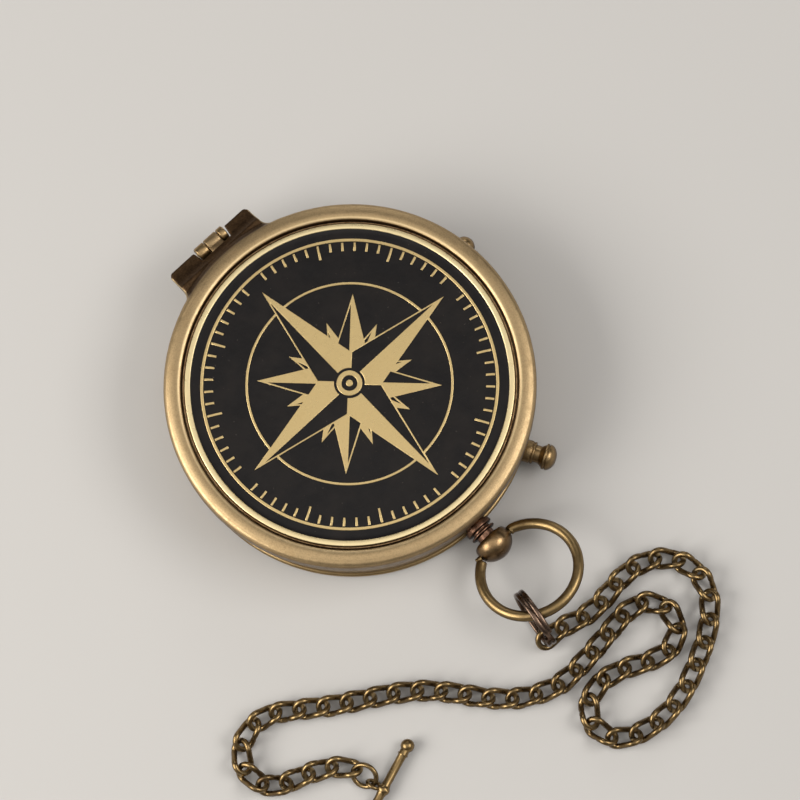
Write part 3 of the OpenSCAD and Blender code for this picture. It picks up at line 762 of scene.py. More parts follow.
def top_loops(ob, z):
    """Outlines of the flat faces of a CAD mesh at height z (m)."""
    me = ob.data
    use = {}
    for p in me.polygons:
        if p.normal.z > 0.9 and abs(p.center.z - z) < 2e-5:
            vs = list(p.vertices)
            for i in range(len(vs)):
                e = (vs[i], vs[(i + 1) % len(vs)])
                use[e] = use.get(e, 0) + 1
    key = {}

    def vid(i):
        c = me.vertices[i].co
        k = (round(c.x * 1e6), round(c.y * 1e6))
        key.setdefault(k, (c.x, c.y))
        return k

    edges = {}
    for a, b in use:
        ka, kb = vid(a), vid(b)
        if ka != kb:
            edges[(ka, kb)] = True
    rim = [e for e in edges if (e[1], e[0]) not in edges]
    nxt = {}
    for a, b in rim:
        nxt.setdefault(a, []).append(b)
    loops = []
    while nxt:
        s = next(iter(nxt))
        loop, cur = [s], s
        while True:
            n = nxt[cur].pop()
            if not nxt[cur]:
                del nxt[cur]
            if n == s or n not in nxt:
                break
            loop.append(n)
            cur = n
        loops.append([key[k] for k in loop])
    return loops


def thin(loop, tol=2e-6):
    """Drops points that lie on a straight line."""
    out = []
    n = len(loop)
    for i in range(n):
        a, b, c = np.array(loop[i - 1]), np.array(loop[i]), np.array(loop[(i + 1) % n])
        d = c - a
        L = np.linalg.norm(d)
        if L < 1e-9 or abs(d[0] * (b - a)[1] - d[1] * (b - a)[0]) / L > tol * 0.2:
            out.append(loop[i])
    return out


loops = top_loops(N["lid_plate"], 0.01822)


def keep_loop(lp):
    r = [math.hypot(*p) for p in lp]
    return max(r) < 0.0316


cu = bpy.data.curves.new("relief", "CURVE")
cu.dimensions = "2D"
cu.fill_mode = "BOTH"
cu.extrude = 0.26 * MM
cu.bevel_depth = 0.075 * MM
cu.bevel_resolution = 2
cu.offset = -0.075 * MM
for lp in loops:
    if not keep_loop(lp) or len(lp) < 3:
        continue
    lp = thin(lp)
    s = cu.splines.new("POLY")
    s.points.add(len(lp) - 1)
    for i, (x, y) in enumerate(lp):
        s.points[i].co = (x, y, 0, 1)
    s.use_cyclic_u = True
cu_ob = bpy.data.objects.new("relief", cu)
bpy.context.scene.collection.objects.link(cu_ob)
bpy.context.view_layer.update()
dg = bpy.context.evaluated_depsgraph_get()
rel = bpy.data.meshes.new_from_object(cu_ob.evaluated_get(dg))
zc = 18.22 - 0.26 - 0.075
rel_v = [(v.co.x, v.co.y, v.co.z + zc * MM) for v in rel.vertices]
rel_f = [tuple(p.vertices) for p in rel.polygons]
bpy.data.objects.remove(cu_ob)
bpy.data.curves.remove(cu)
bpy.data.meshes.remove(rel)

ring_prof = fillet([(0, 17.0), (33.7, 17.0), (33.7, 17.78), (33.66, 17.8), (33.58, 17.98), (33.34, 17.98), (33.28, 17.8),
                    (33.22, 17.8), (33.2, 17.9), (33.2, 18.08), (33.06, 18.21), (32.6, 18.235), (32.14, 18.21), (32.0, 18.08),
                    (32.0, 17.8), (0, 17.8)], 0.05, 3)
v, f = lathe(ring_prof, 256)
clean, bead, grv = [], [], []
for p in v:
    r, z = math.hypot(p[0], p[1]) / MM, p[2] / MM
    out = z > 17.5
    clean.append(1.0 if out and 31.9 < r < 33.14 and z > 17.9 else 0.0)
    bead.append(1.0 if out and 33.27 < r < 33.67 and z > 17.9 else 0.0)
    grv.append(1.0 if out and r > 33.15 and z < 17.93 else 0.0)
plate_ob = piece("lid_pattern", [(v, f, {"clean": clean, "bead": bead, "groove": grv}), (rel_v, rel_f)], mat_relief, "lid",
                 ["lid_plate"], angle=35)


def enamel_mesh():
    """The enamel field: nearly flat, drawn up a little at the ring."""
    prof = [(0, 18.06)]
    for r in np.linspace(0.8, 31.0, 46):
        prof.append((r, 18.06))
    for r in np.linspace(31.1, 32.02, 9):
        prof.append((r, 18.06 + 0.07 * ((r - 31.1) / 0.92) ** 2))
    v, f = lathe(prof, 180)
    out = []
    for p in v:
        x, y = p[0] / MM, p[1] / MM
        w = 0.010 * math.sin(0.33 * x + 1.3) * math.cos(0.29 * y - 0.4) + 0.006 * math.sin(0.71 * x - 0.52 * y)
        out.append((p[0], p[1], p[2] + w * MM))
    return out, [tuple(reversed(q)) for q in f]


piece("enamel_field", [enamel_mesh()], mat_enamel, "lid", ["lid_enamel"], angle=60)

# ------------------------------------------------------------------ case

case_prof = [(0, 0), (30.5, 0), (30.8, 0.12), (31.6, 0.12), (31.9, 0), (35.1, 0)]
case_prof += [(35.1 + 0.9 * math.sin(t), 0.9 - 0.9 * math.cos(t)) for t in np.linspace(0.2, math.pi / 2 - 0.1, 5)]
case_prof += [(36.0, 1.25)]
case_prof += [(36 + 0.6 * math.cos(t), 1.9 + 0.6 * math.sin(t)) for t in np.linspace(-math.pi / 2 + 0.15, math.pi / 2 - 0.15, 9)]
case_prof += [(36.0, 2.6), (36.0, 2.95), (35.93, 3.02), (35.93, 3.12), (36.0, 3.2), (36.0, 10.3), (35.93, 10.4), (35.93, 10.5),
              (36.0, 10.6), (36.0, 11.15)]
case_prof += [(36 + 1.2 * math.cos(t), 12.4 + 1.2 * math.sin(t)) for t in np.linspace(-math.pi / 2 + 0.1, math.pi / 2, 15)]
case_prof += [(34.75, 13.6), (34.6, 13.45), (34.6, 1.75), (34.45, 1.6), (20, 1.6), (0, 1.6)]
v, f = lathe(fillet(case_prof, 0.05, 2), 256)
grime(piece("case_shell", [(v, f)], mat_case, "case", ["case_body"], angle=50), -1.3, 1.5)

# hinge lug with its two outer knuckles
v1 = barrel(-3.75, -1.3)
v2 = barrel(2.2, 3.75)


def lug_mesh():
    yz = [(36.1, 8.5), (36.8, 8.4), (37.4, 8.9), (38.2, 9.95), (39.1, 10.8), (40.0, 11.4), (41.0, 11.9), (41.8, 12.25),
          (41.9, 13.0), (40.9, 13.35), (37.6, 13.35), (37.25, 12.9), (37.2, 12.0), (36.6, 11.2), (36.1, 10.9)]
    verts, faces = [], []
    for x, k in ((-3.75, 0.12), (-3.6, 0.0), (3.6, 0.0), (3.75, 0.12)):
        c = np.array([38.6, 11.6])
        for y, z in yz:
            q = np.array([y, z])
            q = q + (c - q) / np.linalg.norm(c - q) * k
            verts.append((x * MM, q[0] * MM, q[1] * MM))
    n = len(yz)
    for i in range(3):
        for k in range(n):
            l = (k + 1) % n
            faces.append((i * n + k, i * n + l, (i + 1) * n + l, (i + 1) * n + k))
    faces.append(tuple(reversed(range(n))))
    faces.append(tuple(3 * n + k for k in range(n)))
    return verts, faces


grime(piece("hinge_knuckles", [v1, v2, lug_mesh()], mat_small, "case", ["hinge_lug"], angle=50), -0.2, 0.8)
v, f = lathe(fillet([(0, -3.87), (0.45, -3.87), (0.6, -3.72), (0.6, 3.72), (0.45, 3.87), (0, 3.87)], 0.05, 2), 32, (0, HY, 13.75),
             (1, 0, 0))
piece("hinge_rod", [(v, f)], mat_bright, "case", ["hinge_pin"], angle=50)

# ------------------------------------------------------------------ stem, bush, knobs

neck = [(32.7, 0), (32.7, 1.5), (36.05, 1.5), (36.05, 2.42), (36.6, 2.42), (36.68, 2.86), (36.82, 3), (37.72, 3), (37.86, 2.88),
        (37.96, 2.05), (38.4, 2.05), (38.48, 2.7), (38.6, 2.86), (38.86, 2.86), (38.98, 2.7), (39.08, 1.95), (40.2, 1.95),
        (40.2, 1.4), (41.1, 1.4), (41.1, 0)]
grime(piece("stem_neck", [radial_lathe(neck, -90, r=0.1)], mat_copper, "case", ["pendant_neck"], angle=55), 0.1, 0.95)

bowl = [(40.2, 0), (40.2, 1.5), (40.2, 3.2)] + [tuple(p) for p in catmull(
    [(40.22, 3.3), (40.4, 3.6), (40.8, 3.84), (41.4, 3.98), (42.0, 4.0), (42.6, 3.93), (43.2, 3.72), (43.8, 3.32), (44.3, 2.8),
     (44.75, 2.1), (45.08, 1.25), (45.22, 0.5), (45.25, 0)], 3)]
v, f = lathe([(max(q[1], 0.0), q[0]) for q in bowl], 96, (0, 0, 5), (0, -1, 0))
grime(piece("stem_bowl", [(v, f)], mat_ball, "case", ["pendant_ball"], angle=55), 0.15, 1.0)

bush = [(34.5, 0), (34.5, 1.7), (36.1, 1.7), (36.1, 2.0), (36.7, 2.0), (36.8, 2.35), (38.2, 2.35), (38.28, 2.18), (38.42, 2.18),
        (38.5, 2.3), (38.8, 2.3), (38.9, 2.2), (38.9, 1.9), (36.95, 1.9), (36.95, 1.22)]
grime(piece("knob_bush", [radial_lathe(bush, -61)], mat_small, "case", ["arrest_bush"], angle=55), 0.0, 0.95)
knob = [(27.2, 0), (27.2, 0.2), (28.2, 1.2), (33.8, 1.2), (33.8, 0.9), (34.46, 0.9), (34.46, 1.2), (38.05, 1.2), (38.05, 1.8),
        (40, 1.8), (40.9, 2.42), (40.98, 2.7), (41.36, 2.7), (41.45, 2.5), (41.58, 2.5), (41.68, 2.68)]
knob = fillet(knob, 0.07, 3) + [tuple(p) for p in catmull(
    [(41.8, 2.68), (42.1, 2.6), (42.5, 2.36), (42.9, 1.94), (43.2, 1.4), (43.38, 0.8), (43.45, 0)], 3)]
a = math.radians(-61)
v, f = lathe([(max(q[1], 0.0), q[0]) for q in knob], 96, (0, 0, 5), (math.cos(a), math.sin(a), 0))
grime(piece("stop_knob", [(v, f)], mat_small, "arrest", ["arrest_knob"], angle=55), 0.0, 0.9)

cb = [(34.5, 0), (34.5, 1.5), (36.1, 1.5), (36.1, 1.9), (37.4, 1.9), (37.4, 0.84)]
grime(piece("button_bush", [radial_lathe(cb, 11)], mat_small, "case", ["check_bush"], angle=55), 0.1, 0.95)
btn = [(27.5, 0), (27.5, 0.2), (28.1, 0.8), (33.85, 0.8), (33.85, 0.6), (34.43, 0.6), (34.43, 0.8), (39.5, 0.8), (39.5, 1.6),
       (38.9, 1.6), (38.7, 1.75), (38.7, 2.0)]
btn = fillet(btn, 0.06, 3) + [tuple(p) for p in catmull(
    [(38.85, 2.08), (39.1, 2.12), (39.5, 2.1), (39.95, 1.97), (40.4, 1.7), (40.8, 1.28), (41.08, 0.74), (41.18, 0.3), (41.2, 0)], 3)]
a = math.radians(11)
v, f = lathe([(max(q[1], 0.0), q[0]) for q in btn], 80, (0, 0, 5), (math.cos(a), math.sin(a), 0))
grime(piece("press_button", [(v, f)], mat_small, "check", ["check_button"], angle=55), 0.0, 0.9)

# the button's return spring
SPRING, SPRING_TURNS = math.radians(11), 3
SD = np.array([math.cos(SPRING), math.sin(SPRING), 0])
SE = np.array([-math.sin(SPRING), math.cos(SPRING), 0])
coil = []
for k in range(48 * SPRING_TURNS + 1):
    t = 2 * math.pi * k / 48
    coil.append((SD * (37.54 + 1.82 * k / (48 * SPRING_TURNS)) + 1.2 * (math.cos(t) * SE + math.sin(t) * np.array([0, 0, 1.0]))
                 + np.array([0, 0, 5.0])) * MM)
v, f = sweep(coil, 0.13 * MM, sides=12)
spring_ob = piece("return_spring", [(v, f)], mat_steel, "case", ["check_spring"], angle=60)
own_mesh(spring_ob)

# ------------------------------------------------------------------ bow and split ring

BOW = math.radians(19.1)
BU = np.array([0, -math.cos(BOW), math.sin(BOW)])      # away from the stem, in the bow's plane
BX = np.array([1.0, 0, 0])
BN = np.cross(BX, BU)
PIV = np.array([0, -42.2, 5.0])


def bow_mesh():
    a1, a2 = math.asin(3.3 / 10.1), math.asin(5.57 / 10.1)
    pts = []
    for t in np.linspace(a1, 2 * math.pi - a2, 150):
        pts.append((1.2 + 10.1 * math.sin(t), 9.25 - 10.1 * math.cos(t)))
    x0, y0 = pts[0]
    lead = [(4.02, 0.0), (4.12, -0.05), (4.25, -0.12), (4.38, -0.2)]
    plane = lead + pts[1:]
    rad = [0.80, 0.82, 0.86, 0.92] + [min(1.0, 0.94 + 0.012 * k) for k in range(len(pts) - 1)]
    world = [(PIV + BX * x + BU * y) * MM for x, y in plane]
    return sweep(world, 1.1 * MM, sides=28, radii=rad, up=tuple(BN), cap=0.12)


pin_l = lathe(fillet([(0, -5.12), (0.42, -5.12), (0.6, -4.9), (0.6, -1.9), (0, -1.9)], 0.06, 2), 32, tuple(PIV), (1, 0, 0))
pin_r = lathe(fillet([(0, 1.9), (0.6, 1.9), (0.6, 4.1), (0.85, 4.14), (0.9, 4.6), (0, 4.7)], 0.06, 2), 32, tuple(PIV), (1, 0, 0))
v, f = bow_mesh()
grime(piece("bow_wire", [(v, f), (*pin_l, {}), (*pin_r, {})], mat_bow, "bow", ["bow_ring"], angle=50), 0.0, 0.85)


def split_mesh():
    """Two turns of flattened wire with a step between them and two cut ends."""
    c = np.array([-4.6, -58.75, 6.55])
    a = math.radians(-9.7)
    ax = np.array([math.cos(a), math.sin(a), 0])
    e1 = np.array([-math.sin(a), math.cos(a), 0])
    e2 = np.array([0, 0, 1.0])
    pts, ups = [], []
    t0, turn = math.radians(148), 2 * math.pi
    n = 210
    for k in range(n + 1):
        u = k / n * 1.97                        # turns
        t = t0 + u * turn
        w = (u - 0.985) / 0.085
        off = 0.535 * math.tanh(w * 1.2)
        rad = 5.95 + 0.03 * math.sin(2 * t)
        d = e1 * math.cos(t) + e2 * math.sin(t)
        pts.append((c + ax * off + d * rad) * MM)
        ups.append(d)
    return sweep(pts, 1.0 * MM, sides=20, shape=(0.43, 0.52), power=3.0, up=np.array(ups), cap=0.1)


v, f = split_mesh()
grime(piece("ring_coils", [(v, f, {"tone": [0.35] * len(v), "edge": [0.0] * len(v)})], mat_split, "bow",
            ["split_ring"], angle=55), -0.3, 0.6)

# ------------------------------------------------------------------ the chain's route, as in the solids

Z = 2.1
ROUTE = [(-5.55, -62.9, 2.7), (-1.4, -63.4, 2.4), (2.7, -64.6, Z), (6.6, -65, Z), (10.4, -64.7, Z),
         (14.6, -64.3, Z), (19.8, -65.2, Z), (24.2, -68.5, Z), (26, -73.8, Z), (24.2, -79.3, Z),
         (19.4, -83.8, Z), (13.6, -86.9, Z), (7.8, -89.2, Z), (2, -90.2, Z), (-3.8, -89.6, Z),
         (-8.4, -87.3, Z), (-10.4, -83, Z), (-8.6, -78.7, Z), (-4, -76.8, Z), (1.4, -77.8, Z),
         (6, -80, Z), (10.6, -81.2, Z), (14.7, -79.7, Z), (16.4, -75.7, Z), (14.7, -71.7, Z),
         (10.7, -70.1, Z), (5.5, -70.4, Z), (0.5, -71, Z), (-4.5, -71.4, Z), (-9.5, -71.3, Z),
         (-14, -69.8, Z), (-18.5, -67, Z), (-22.5, -63, Z), (-26, -58.5, Z), (-30, -54, Z),
         (-35, -50, Z), (-40.5, -46.5, Z), (-46, -43, Z), (-51.5, -39, Z), (-56.5, -35.8, Z),
         (-61.6, -35.4, Z), (-65.8, -37.8, Z), (-67.4, -42.4, Z), (-65.2, -46.9, Z),
         (-60.4, -49.2, Z), (-56, -51.2, Z), (-52.2, -54.4, Z), (-50.4, -58.9, Z)]
START, PITCH, LINKS, LEAD = 1.6, 4.8, 51, 7
LINE = catmull(ROUTE, 16)
STEP = np.r_[0, np.cumsum(np.linalg.norm(np.diff(LINE, axis=0), axis=1))]


def on_line(s):
    return np.array([np.interp(s, STEP, LINE[:, k]) for k in range(3)])


def on_route(s, roll, lift=0.0):
    """A frame on the route: position, long axis, side axis, upright axis."""
    p = on_line(s) + np.array([0, 0, lift])
    t = on_line(min(s + 1, STEP[-1])) - on_line(max(s - 1, 0))
    t /= np.linalg.norm(t)
    side = np.cross([0, 0, 1.0], t)
    side /= np.linalg.norm(side)
    up = np.cross(t, side)
    a = math.radians(roll)
    e2 = math.cos(a) * side + math.sin(a) * up
    return p, t, e2, np.cross(t, e2)


def link_mesh(i):
    """A twisted oval link of round wire with a butt seam in one long side; its ends are polished by the next links."""
    wire, length, width, twist = 1.2, 8.0, 5.4, math.radians(42)
    r, h = (width - wire) / 2, (length - width) / 2
    seam = rng.random() < 0.5
    pts = []                                   # x, y, z, wire size, polish
    for side in (1, -1):                       # the two ends, rolled opposite ways
        n = 20
        for k in range(n + 1):
            b = -math.pi / 2 + math.pi * k / n
            x, y = side * (h + r * math.cos(b)), side * r * math.sin(b)
            roll = -side * twist
            pts.append([x, y * math.cos(roll), y * math.sin(roll), 1.0, max(0.0, math.cos(b) - 0.82) / 0.18])
    P = np.array(pts)
    n = len(P)
    dense = []
    for k in range(n):
        q = P[(k + 1) % n]
        m = 10 if np.linalg.norm(q[:3] - P[k][:3]) > 1.0 else 1
        for j in range(m):
            dense.append(P[k] + (q - P[k]) * j / m)
    D = np.array(dense)
    for _ in range(7):                          # softens the bends between ends and sides
        D[:, :3] = 0.5 * D[:, :3] + 0.25 * (np.roll(D[:, :3], 1, 0) + np.roll(D[:, :3], -1, 0))
    if seam:
        c = int(len(D) * 0.5) - 5
        D[c, 3], D[c - 1, 3], D[c + 1, 3] = 0.80, 0.93, 0.93
    jig = math.radians(rng.uniform(-2.0, 2.0))
    p, t, e2, e3 = on_route(START + i * PITCH, math.degrees(jig), 0.02)
    world = [(p + t * q[0] + e2 * q[1] + e3 * q[2]) * MM for q in D]
    sides = 14
    v, f = sweep(world, wire / 2 * MM, sides=sides, closed=True, radii=[q[3] for q in D])
    tone = rng.random()
    edge = []
    for q in D:
        edge += [0.4 * min(1.0, q[4])] * sides
    return v, f, {"tone": [tone] * len(v), "edge": edge}


chain_lead_ob = None
v, f, a = join_lists([link_mesh(i) for i in range(LEAD)])
chain_lead_ob = new_object("chain_lead_links", v, f, attrs=a)
v, f, a = join_lists([link_mesh(i) for i in range(LEAD, LINKS)])
chain_ob = new_object("chain_run_links", v, f, attrs=a)

END_S = START - 0.3 + LINKS * PITCH
p, t, e2, e3 = on_route(END_S, 40, 0.15)
v, f = sweep([(p + t * 2.5 * math.cos(b) + e2 * 2.5 * math.sin(b)) * MM
              for b in [2 * math.pi * k / 64 for k in range(64)]], 0.5 * MM, sides=16, closed=True)
end_ring_ob = new_object("chain_end_loop", v, f, attrs={"tone": [0.5] * len(v), "edge": [0.0] * len(v)})

for ob in (chain_lead_ob, chain_ob, end_ring_ob):
    grime(ob, 0.0, 0.9)
    ob.data.materials.append(mat_chain)

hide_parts("chain_lead")
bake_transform(chain_lead_ob)
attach(chain_ob, "case")
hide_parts("chain_links")
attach(end_ring_ob, "case")
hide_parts("chain_end_ring")


def t_bar_mesh():
    a = math.radians(-72)
    X = np.array([math.cos(a), math.sin(a), 0])
    Y = np.array([-math.sin(a), math.cos(a), 0])
    o = np.array([-50.6, -60.3, 1.6])
    r = math.radians(-60)
    e = math.cos(r) * Y + math.sin(r) * np.array([0, 0, 1.0])
    eye = sweep([(o + 1.35 * (math.cos(t) * X + math.sin(t) * e)) * MM for t in [2 * math.pi * k / 48 for k in range(48)]],
                0.4 * MM, sides=14, closed=True)
    half_p = [(0, 0), (1.3, 0.0), (1.28, 0.3), (1.12, 0.62), (0.98, 0.8), (0.95, 1.0), (0.86, 1.4), (0.86, 7.6), (0.95, 7.9),
              (1.12, 7.95), (1.12, 8.15), (0.95, 8.2), (0.95, 8.7)]
    ball = [(1.4 * math.cos(t), 10 + 1.4 * math.sin(t)) for t in np.linspace(-0.84, math.pi / 2, 16)]
    prof = half_p + ball
    full = [(q[0], -q[1]) for q in reversed(prof)][:-1] + prof[1:]
    full = [(max(q[0], 0.0) if abs(q[0]) > 1e-6 else 0.0, q[1]) for q in full]
    bar = lathe(full, 48, tuple(o + 2.2 * X), tuple(Y))
    return [(*eye, {"tone": 0.3, "edge": 0.0}), (*bar, {"tone": 0.25, "edge": 0.0})]


t_bar_ob = grime(piece("bar_end", t_bar_mesh(), mat_chain, "case", ["t_bar"], angle=45), -0.2, 0.8)

# ------------------------------------------------------------------ dial print, scale and needle


def word(text, size, bold=0.0):
    """Flat letters as lists of 2-D points (mm) and faces, centred."""
    c = bpy.data.curves.new("word", "FONT")
    c.body = text
    c.size = size
    c.align_x = "CENTER"
    c.align_y = "CENTER"
    c.offset = bold
    o = bpy.data.objects.new("word", c)
    bpy.context.scene.collection.objects.link(o)
    bpy.context.view_layer.update()
    me = bpy.data.meshes.new_from_object(o.evaluated_get(bpy.context.evaluated_depsgraph_get()))
    v = np.array([(p.co.x, p.co.y) for p in me.vertices])
    f = [tuple(p.vertices) for p in me.polygons]
    bpy.data.objects.remove(o)
    bpy.data.curves.remove(c)
    bpy.data.meshes.remove(me)
    v -= (v.max(0) + v.min(0)) / 2
    return v, f


def placed_word(text, size, bearing, r, z, bold=0.0, upright=False):
    v, f = word(text, size, bold)
    b = math.radians(bearing)
    cx, cy = r * math.sin(b), r * math.cos(b)
    t = 0.0 if upright else -b
    c, s = math.cos(t), math.sin(t)
    out = [((cx + x * c - y * s) * MM, (cy + x * s + y * c) * MM, z * MM) for x, y in v]
    return out, f


def flat_ring(r0, r1, z, n=180):
    v, f = [], []
    for r in (r0, r1):
        for k in range(n):
            a = 2 * math.pi * k / n
            v.append((r * math.cos(a) * MM, r * math.sin(a) * MM, z * MM))
    for k in range(n):
        l = (k + 1) % n
        f.append((k, n + k, n + l, l))
    return v, f


def flat_poly(pts, bearing, z):
    b = math.radians(bearing)
    c, s = math.cos(-b), math.sin(-b)
    return [((x * c - y * s) * MM, (x * s + y * c) * MM, z * MM) for x, y in pts], [tuple(range(len(pts)))]


ink = {"ink": 1.0, "red": 0.0}
red = {"ink": 0.0, "red": 1.0}
zc = 7.755
dial = []
for r0, r1 in ((27.3, 27.5), (26.4, 26.52), (17.0, 17.16), (4.2, 4.32), (4.6, 4.66)):
    dial.append((*flat_ring(r0, r1, zc), ink))
for k in range(72):
    w = 0.11 if k % 2 else 0.16
    dial.append((*flat_poly([(-w, 26.5), (w, 26.5), (w, 27.35), (-w, 27.35)], k * 5, zc), ink))
for k in range(4):
    b = k * 90
    dial.append((*flat_poly([(0, 4.7), (2.3, 5.6), (0, 20.2)], b, zc), ink))
    dial.append((*flat_poly([(0, 4.7), (0, 20.2), (-0.14, 19.2), (-2.3, 5.6), (-2.1, 5.68), (-0.12, 18.0), (-0.12, 5.0)], b, zc), ink))
    b = 45 + k * 90
    dial.append((*flat_poly([(0, 4.7), (1.75, 6.6), (0, 15.4)], b, zc + 0.002), red))
    dial.append((*flat_poly([(0, 4.7), (0, 15.4), (-0.12, 14.7), (-1.75, 6.6), (-1.58, 6.65), (-0.1, 13.4), (-0.1, 5.2)], b,
                            zc + 0.002), red))
for k in range(8):
    b = 22.5 + 45 * k
    dial.append((*flat_poly([(0, 9.2), (0.55, 11.0), (0, 15.9), (-0.55, 11.0)], b, zc), ink))
for text, b in (("N", 0), ("E", 90), ("S", 180), ("W", 270)):
    dial.append((*placed_word(text, 5.2, b, 23.2, zc, 0.06), red if text == "N" else ink))
for text, b in (("NE", 45), ("SE", 135), ("SW", 225), ("NW", 315)):
    dial.append((*placed_word(text, 2.9, b, 20.6, zc, 0.02), ink))
print_ob = piece("dial_ink", dial, mat_dial, "case", [], angle=30)

scale = []
zs = 9.006
screw_at = [45, 285, 180]
for k in range(180):
    b = 2 * k
    r0, r1, w = (31.55, 32.7, 0.075) if k % 5 == 0 else (32.0, 32.7, 0.055)
    if min(abs((b - s + 180) % 360 - 180) for s in screw_at) < 3.2:
        r0 = 32.2
    scale.append((*flat_poly([(-w, r0), (w, r0), (w, r1), (-w, r1)], b, zs), {"ink": 1.0}))
scale.append((*flat_ring(32.66, 32.74, zs), {"ink": 1.0}))
for b in range(0, 360, 20):
    if b == 180:
        continue
    scale.append((*placed_word(str(b), 1.75, b, 30.35, zs, 0.01), {"ink": 1.0}))
scale_ob = piece("scale_engraving", scale, mat_scale, "case", [], angle=30)


def needle_mesh():
    """Two tapered blades with a ridge, round a hub."""
    ang = math.radians(-20)
    c, s = math.cos(ang), math.sin(ang)
    verts, faces, north = [], [], []

    def put(x, y, z, n):
        verts.append(((x * c - y * s) * MM, (x * s + y * c) * MM, z * MM))
        north.append(n)
        return len(verts) - 1

    for sign in (1, -1):
        n = 1.0 if sign > 0 else 0.0
        ys = [2.02, 4, 8, 14, 20, 25, 27.5]
        rows = []
        for y in ys:
            w = 2.7 * (27.8 - y) / (27.8 - 1.5)
            rows.append([put(-w * sign, y * sign, 9.4, n), put(-w * sign, y * sign, 9.55, n), put(0, y * sign, 9.75, n),
                         put(w * sign, y * sign, 9.55, n), put(w * sign, y * sign, 9.4, n)])
        tip = put(0, 27.8 * sign, 9.48, n)
        for i in range(len(rows) - 1):
            a, b = rows[i], rows[i + 1]
            for k in range(4):
                faces.append((a[k], b[k], b[k + 1], a[k + 1]))
            faces.append((a[4], b[4], b[0], a[0]))
        a = rows[-1]
        for k in range(4):
            faces.append((a[k], tip, a[k + 1]))
        faces.append((a[4], tip, a[0]))
        a = rows[0]
        faces.append(tuple(reversed(a)))
    hv, hf = lathe(fillet([(1.7, 9.4), (2.55, 9.4), (2.7, 9.45), (2.7, 9.68), (2.6, 9.75), (1.7, 9.75), (1.7, 9.4)], 0.04, 2), 64)
    o = len(verts)
    verts += [tuple(q) for q in hv]
    north += [0.0] * len(hv)
    faces += [tuple(i + o for i in q) for q in hf]
    return verts, faces, {"north": north}


piece("needle_blades", [needle_mesh()], mat_needle, "compass_needle", ["needle"], angle=12)

# ------------------------------------------------------------------ floor and light


def floor_mat():
    m = Mat("floor")
    m.b.inputs["Base Color"].default_value = (0.55, 0.54, 0.528, 1)
    m.b.inputs["Roughness"].default_value = 0.8
    m.b.inputs["Specular IOR Level"].default_value = 0.2
    return m.m


v, f = lathe([(0, 0), (3000.0, 0)], 96)
floor = new_object("floor", [(x, y, -0.00003) for x, y, z in v], [tuple(reversed(q)) for q in f], smooth=False)
floor.data.materials.append(floor_mat())

sc = bpy.context.scene
sc.view_settings.view_transform = "Standard"
sc.view_settings.look = "None"
sc.view_settings.exposure = 0.0

world = bpy.data.worlds.new("world")
sc.world = world
world.use_nodes = True
wt = world.node_tree
bg = wt.nodes["Background"]
tc = wt.nodes.new("ShaderNodeTexCoord")
sep = wt.nodes.new("ShaderNodeSeparateXYZ")
mr = wt.nodes.new("ShaderNodeMapRange")
mr.interpolation_type = "SMOOTHSTEP"
wt.links.new(tc.outputs["Generated"], sep.inputs[0])
wt.links.new(sep.outputs[2], mr.inputs["Value"])
mr.inputs["From Min"].default_value = 0.1
mr.inputs["From Max"].default_value = 0.9
mr.inputs["To Min"].default_value = 0.27
mr.inputs["To Max"].default_value = 1.0
dp = wt.nodes.new("ShaderNodeVectorMath")
dp.operation = "DOT_PRODUCT"
wt.links.new(tc.outputs["Generated"], dp.inputs[0])
dp.inputs[1].default_value = (0.68, 0.73, 0.0)
far = wt.nodes.new("ShaderNodeMapRange")
far.interpolation_type = "SMOOTHSTEP"
wt.links.new(dp.outputs["Value"], far.inputs["Value"])
far.inputs["From Min"].default_value = 0.05
far.inputs["From Max"].default_value = 0.55
far.inputs["To Min"].default_value = 1.08
far.inputs["To Max"].default_value = 0.10
near = wt.nodes.new("ShaderNodeMapRange")
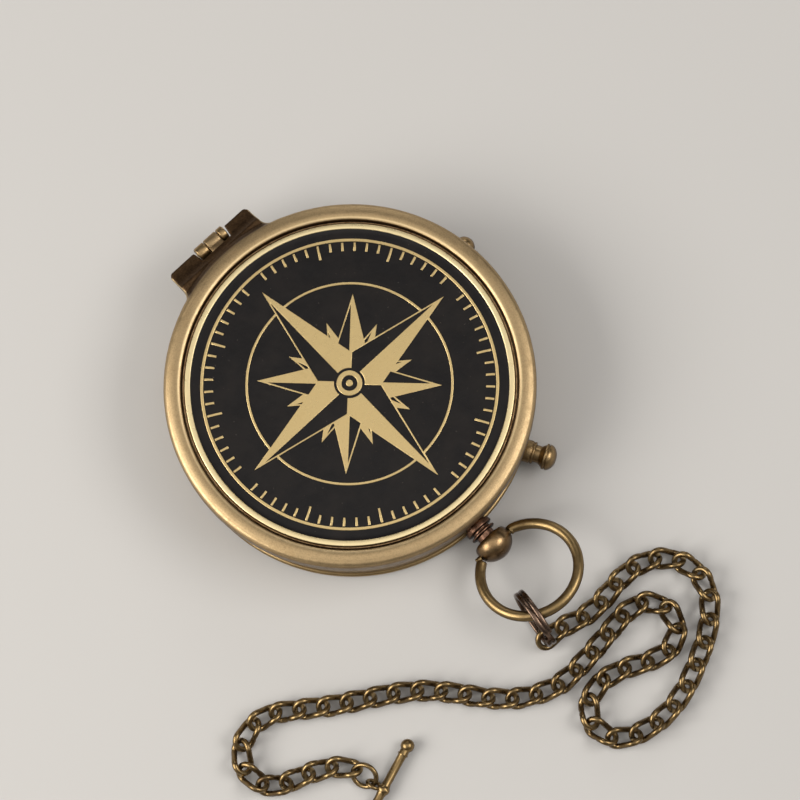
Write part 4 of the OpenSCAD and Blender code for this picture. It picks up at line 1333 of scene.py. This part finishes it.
near.interpolation_type = "SMOOTHSTEP"
wt.links.new(dp.outputs["Value"], near.inputs["Value"])
near.inputs["From Min"].default_value = -0.75
near.inputs["From Max"].default_value = 0.0
near.inputs["To Min"].default_value = 0.2
near.inputs["To Max"].default_value = 1.0
both = wt.nodes.new("ShaderNodeMath")
both.operation = "MULTIPLY"
wt.links.new(far.outputs["Result"], both.inputs[0])
wt.links.new(near.outputs["Result"], both.inputs[1])
mul = wt.nodes.new("ShaderNodeMath")
mul.operation = "MULTIPLY"
wt.links.new(mr.outputs["Result"], mul.inputs[0])
wt.links.new(both.outputs[0], mul.inputs[1])
bg.inputs[0].default_value = (1.0, 0.97, 0.93, 1)
low = wt.nodes.new("ShaderNodeMapRange")
low.interpolation_type = "SMOOTHSTEP"
wt.links.new(sep.outputs[2], low.inputs["Value"])
low.inputs["From Min"].default_value = 0.09
low.inputs["From Max"].default_value = 0.17
low.inputs["To Min"].default_value = 0.46
low.inputs["To Max"].default_value = 0.0
top = wt.nodes.new("ShaderNodeMath")
top.operation = "MAXIMUM"
wt.links.new(mul.outputs[0], top.inputs[0])
wt.links.new(low.outputs["Result"], top.inputs[1])
wt.links.new(top.outputs[0], bg.inputs[1])


def area(name, pos, target, size, power, color=(1, 1, 1), size_y=None):
    d = bpy.data.lights.new(name, "AREA")
    d.shape = "RECTANGLE"
    d.size = size
    d.size_y = size_y or size
    d.energy = power
    d.color = color
    o = bpy.data.objects.new(name, d)
    bpy.context.scene.collection.objects.link(o)
    o.location = pos
    o.visible_camera = False
    o.rotation_euler = (Vector(target) - Vector(pos)).to_track_quat("-Z", "Y").to_euler()
    return o


AIM = (0, -0.02, 0.01)
area("key", (-0.57, 0.24, 0.46), AIM, 0.6, 5.0, (1.0, 0.965, 0.91), size_y=0.42)
area("fill", (0.40, -0.40, 0.66), AIM, 0.55, 2.5, (1.0, 0.97, 0.93), size_y=0.36)
area("back", (0.50, 0.52, 0.42), AIM, 0.45, 0.7, (1.0, 0.98, 0.96), size_y=0.3)
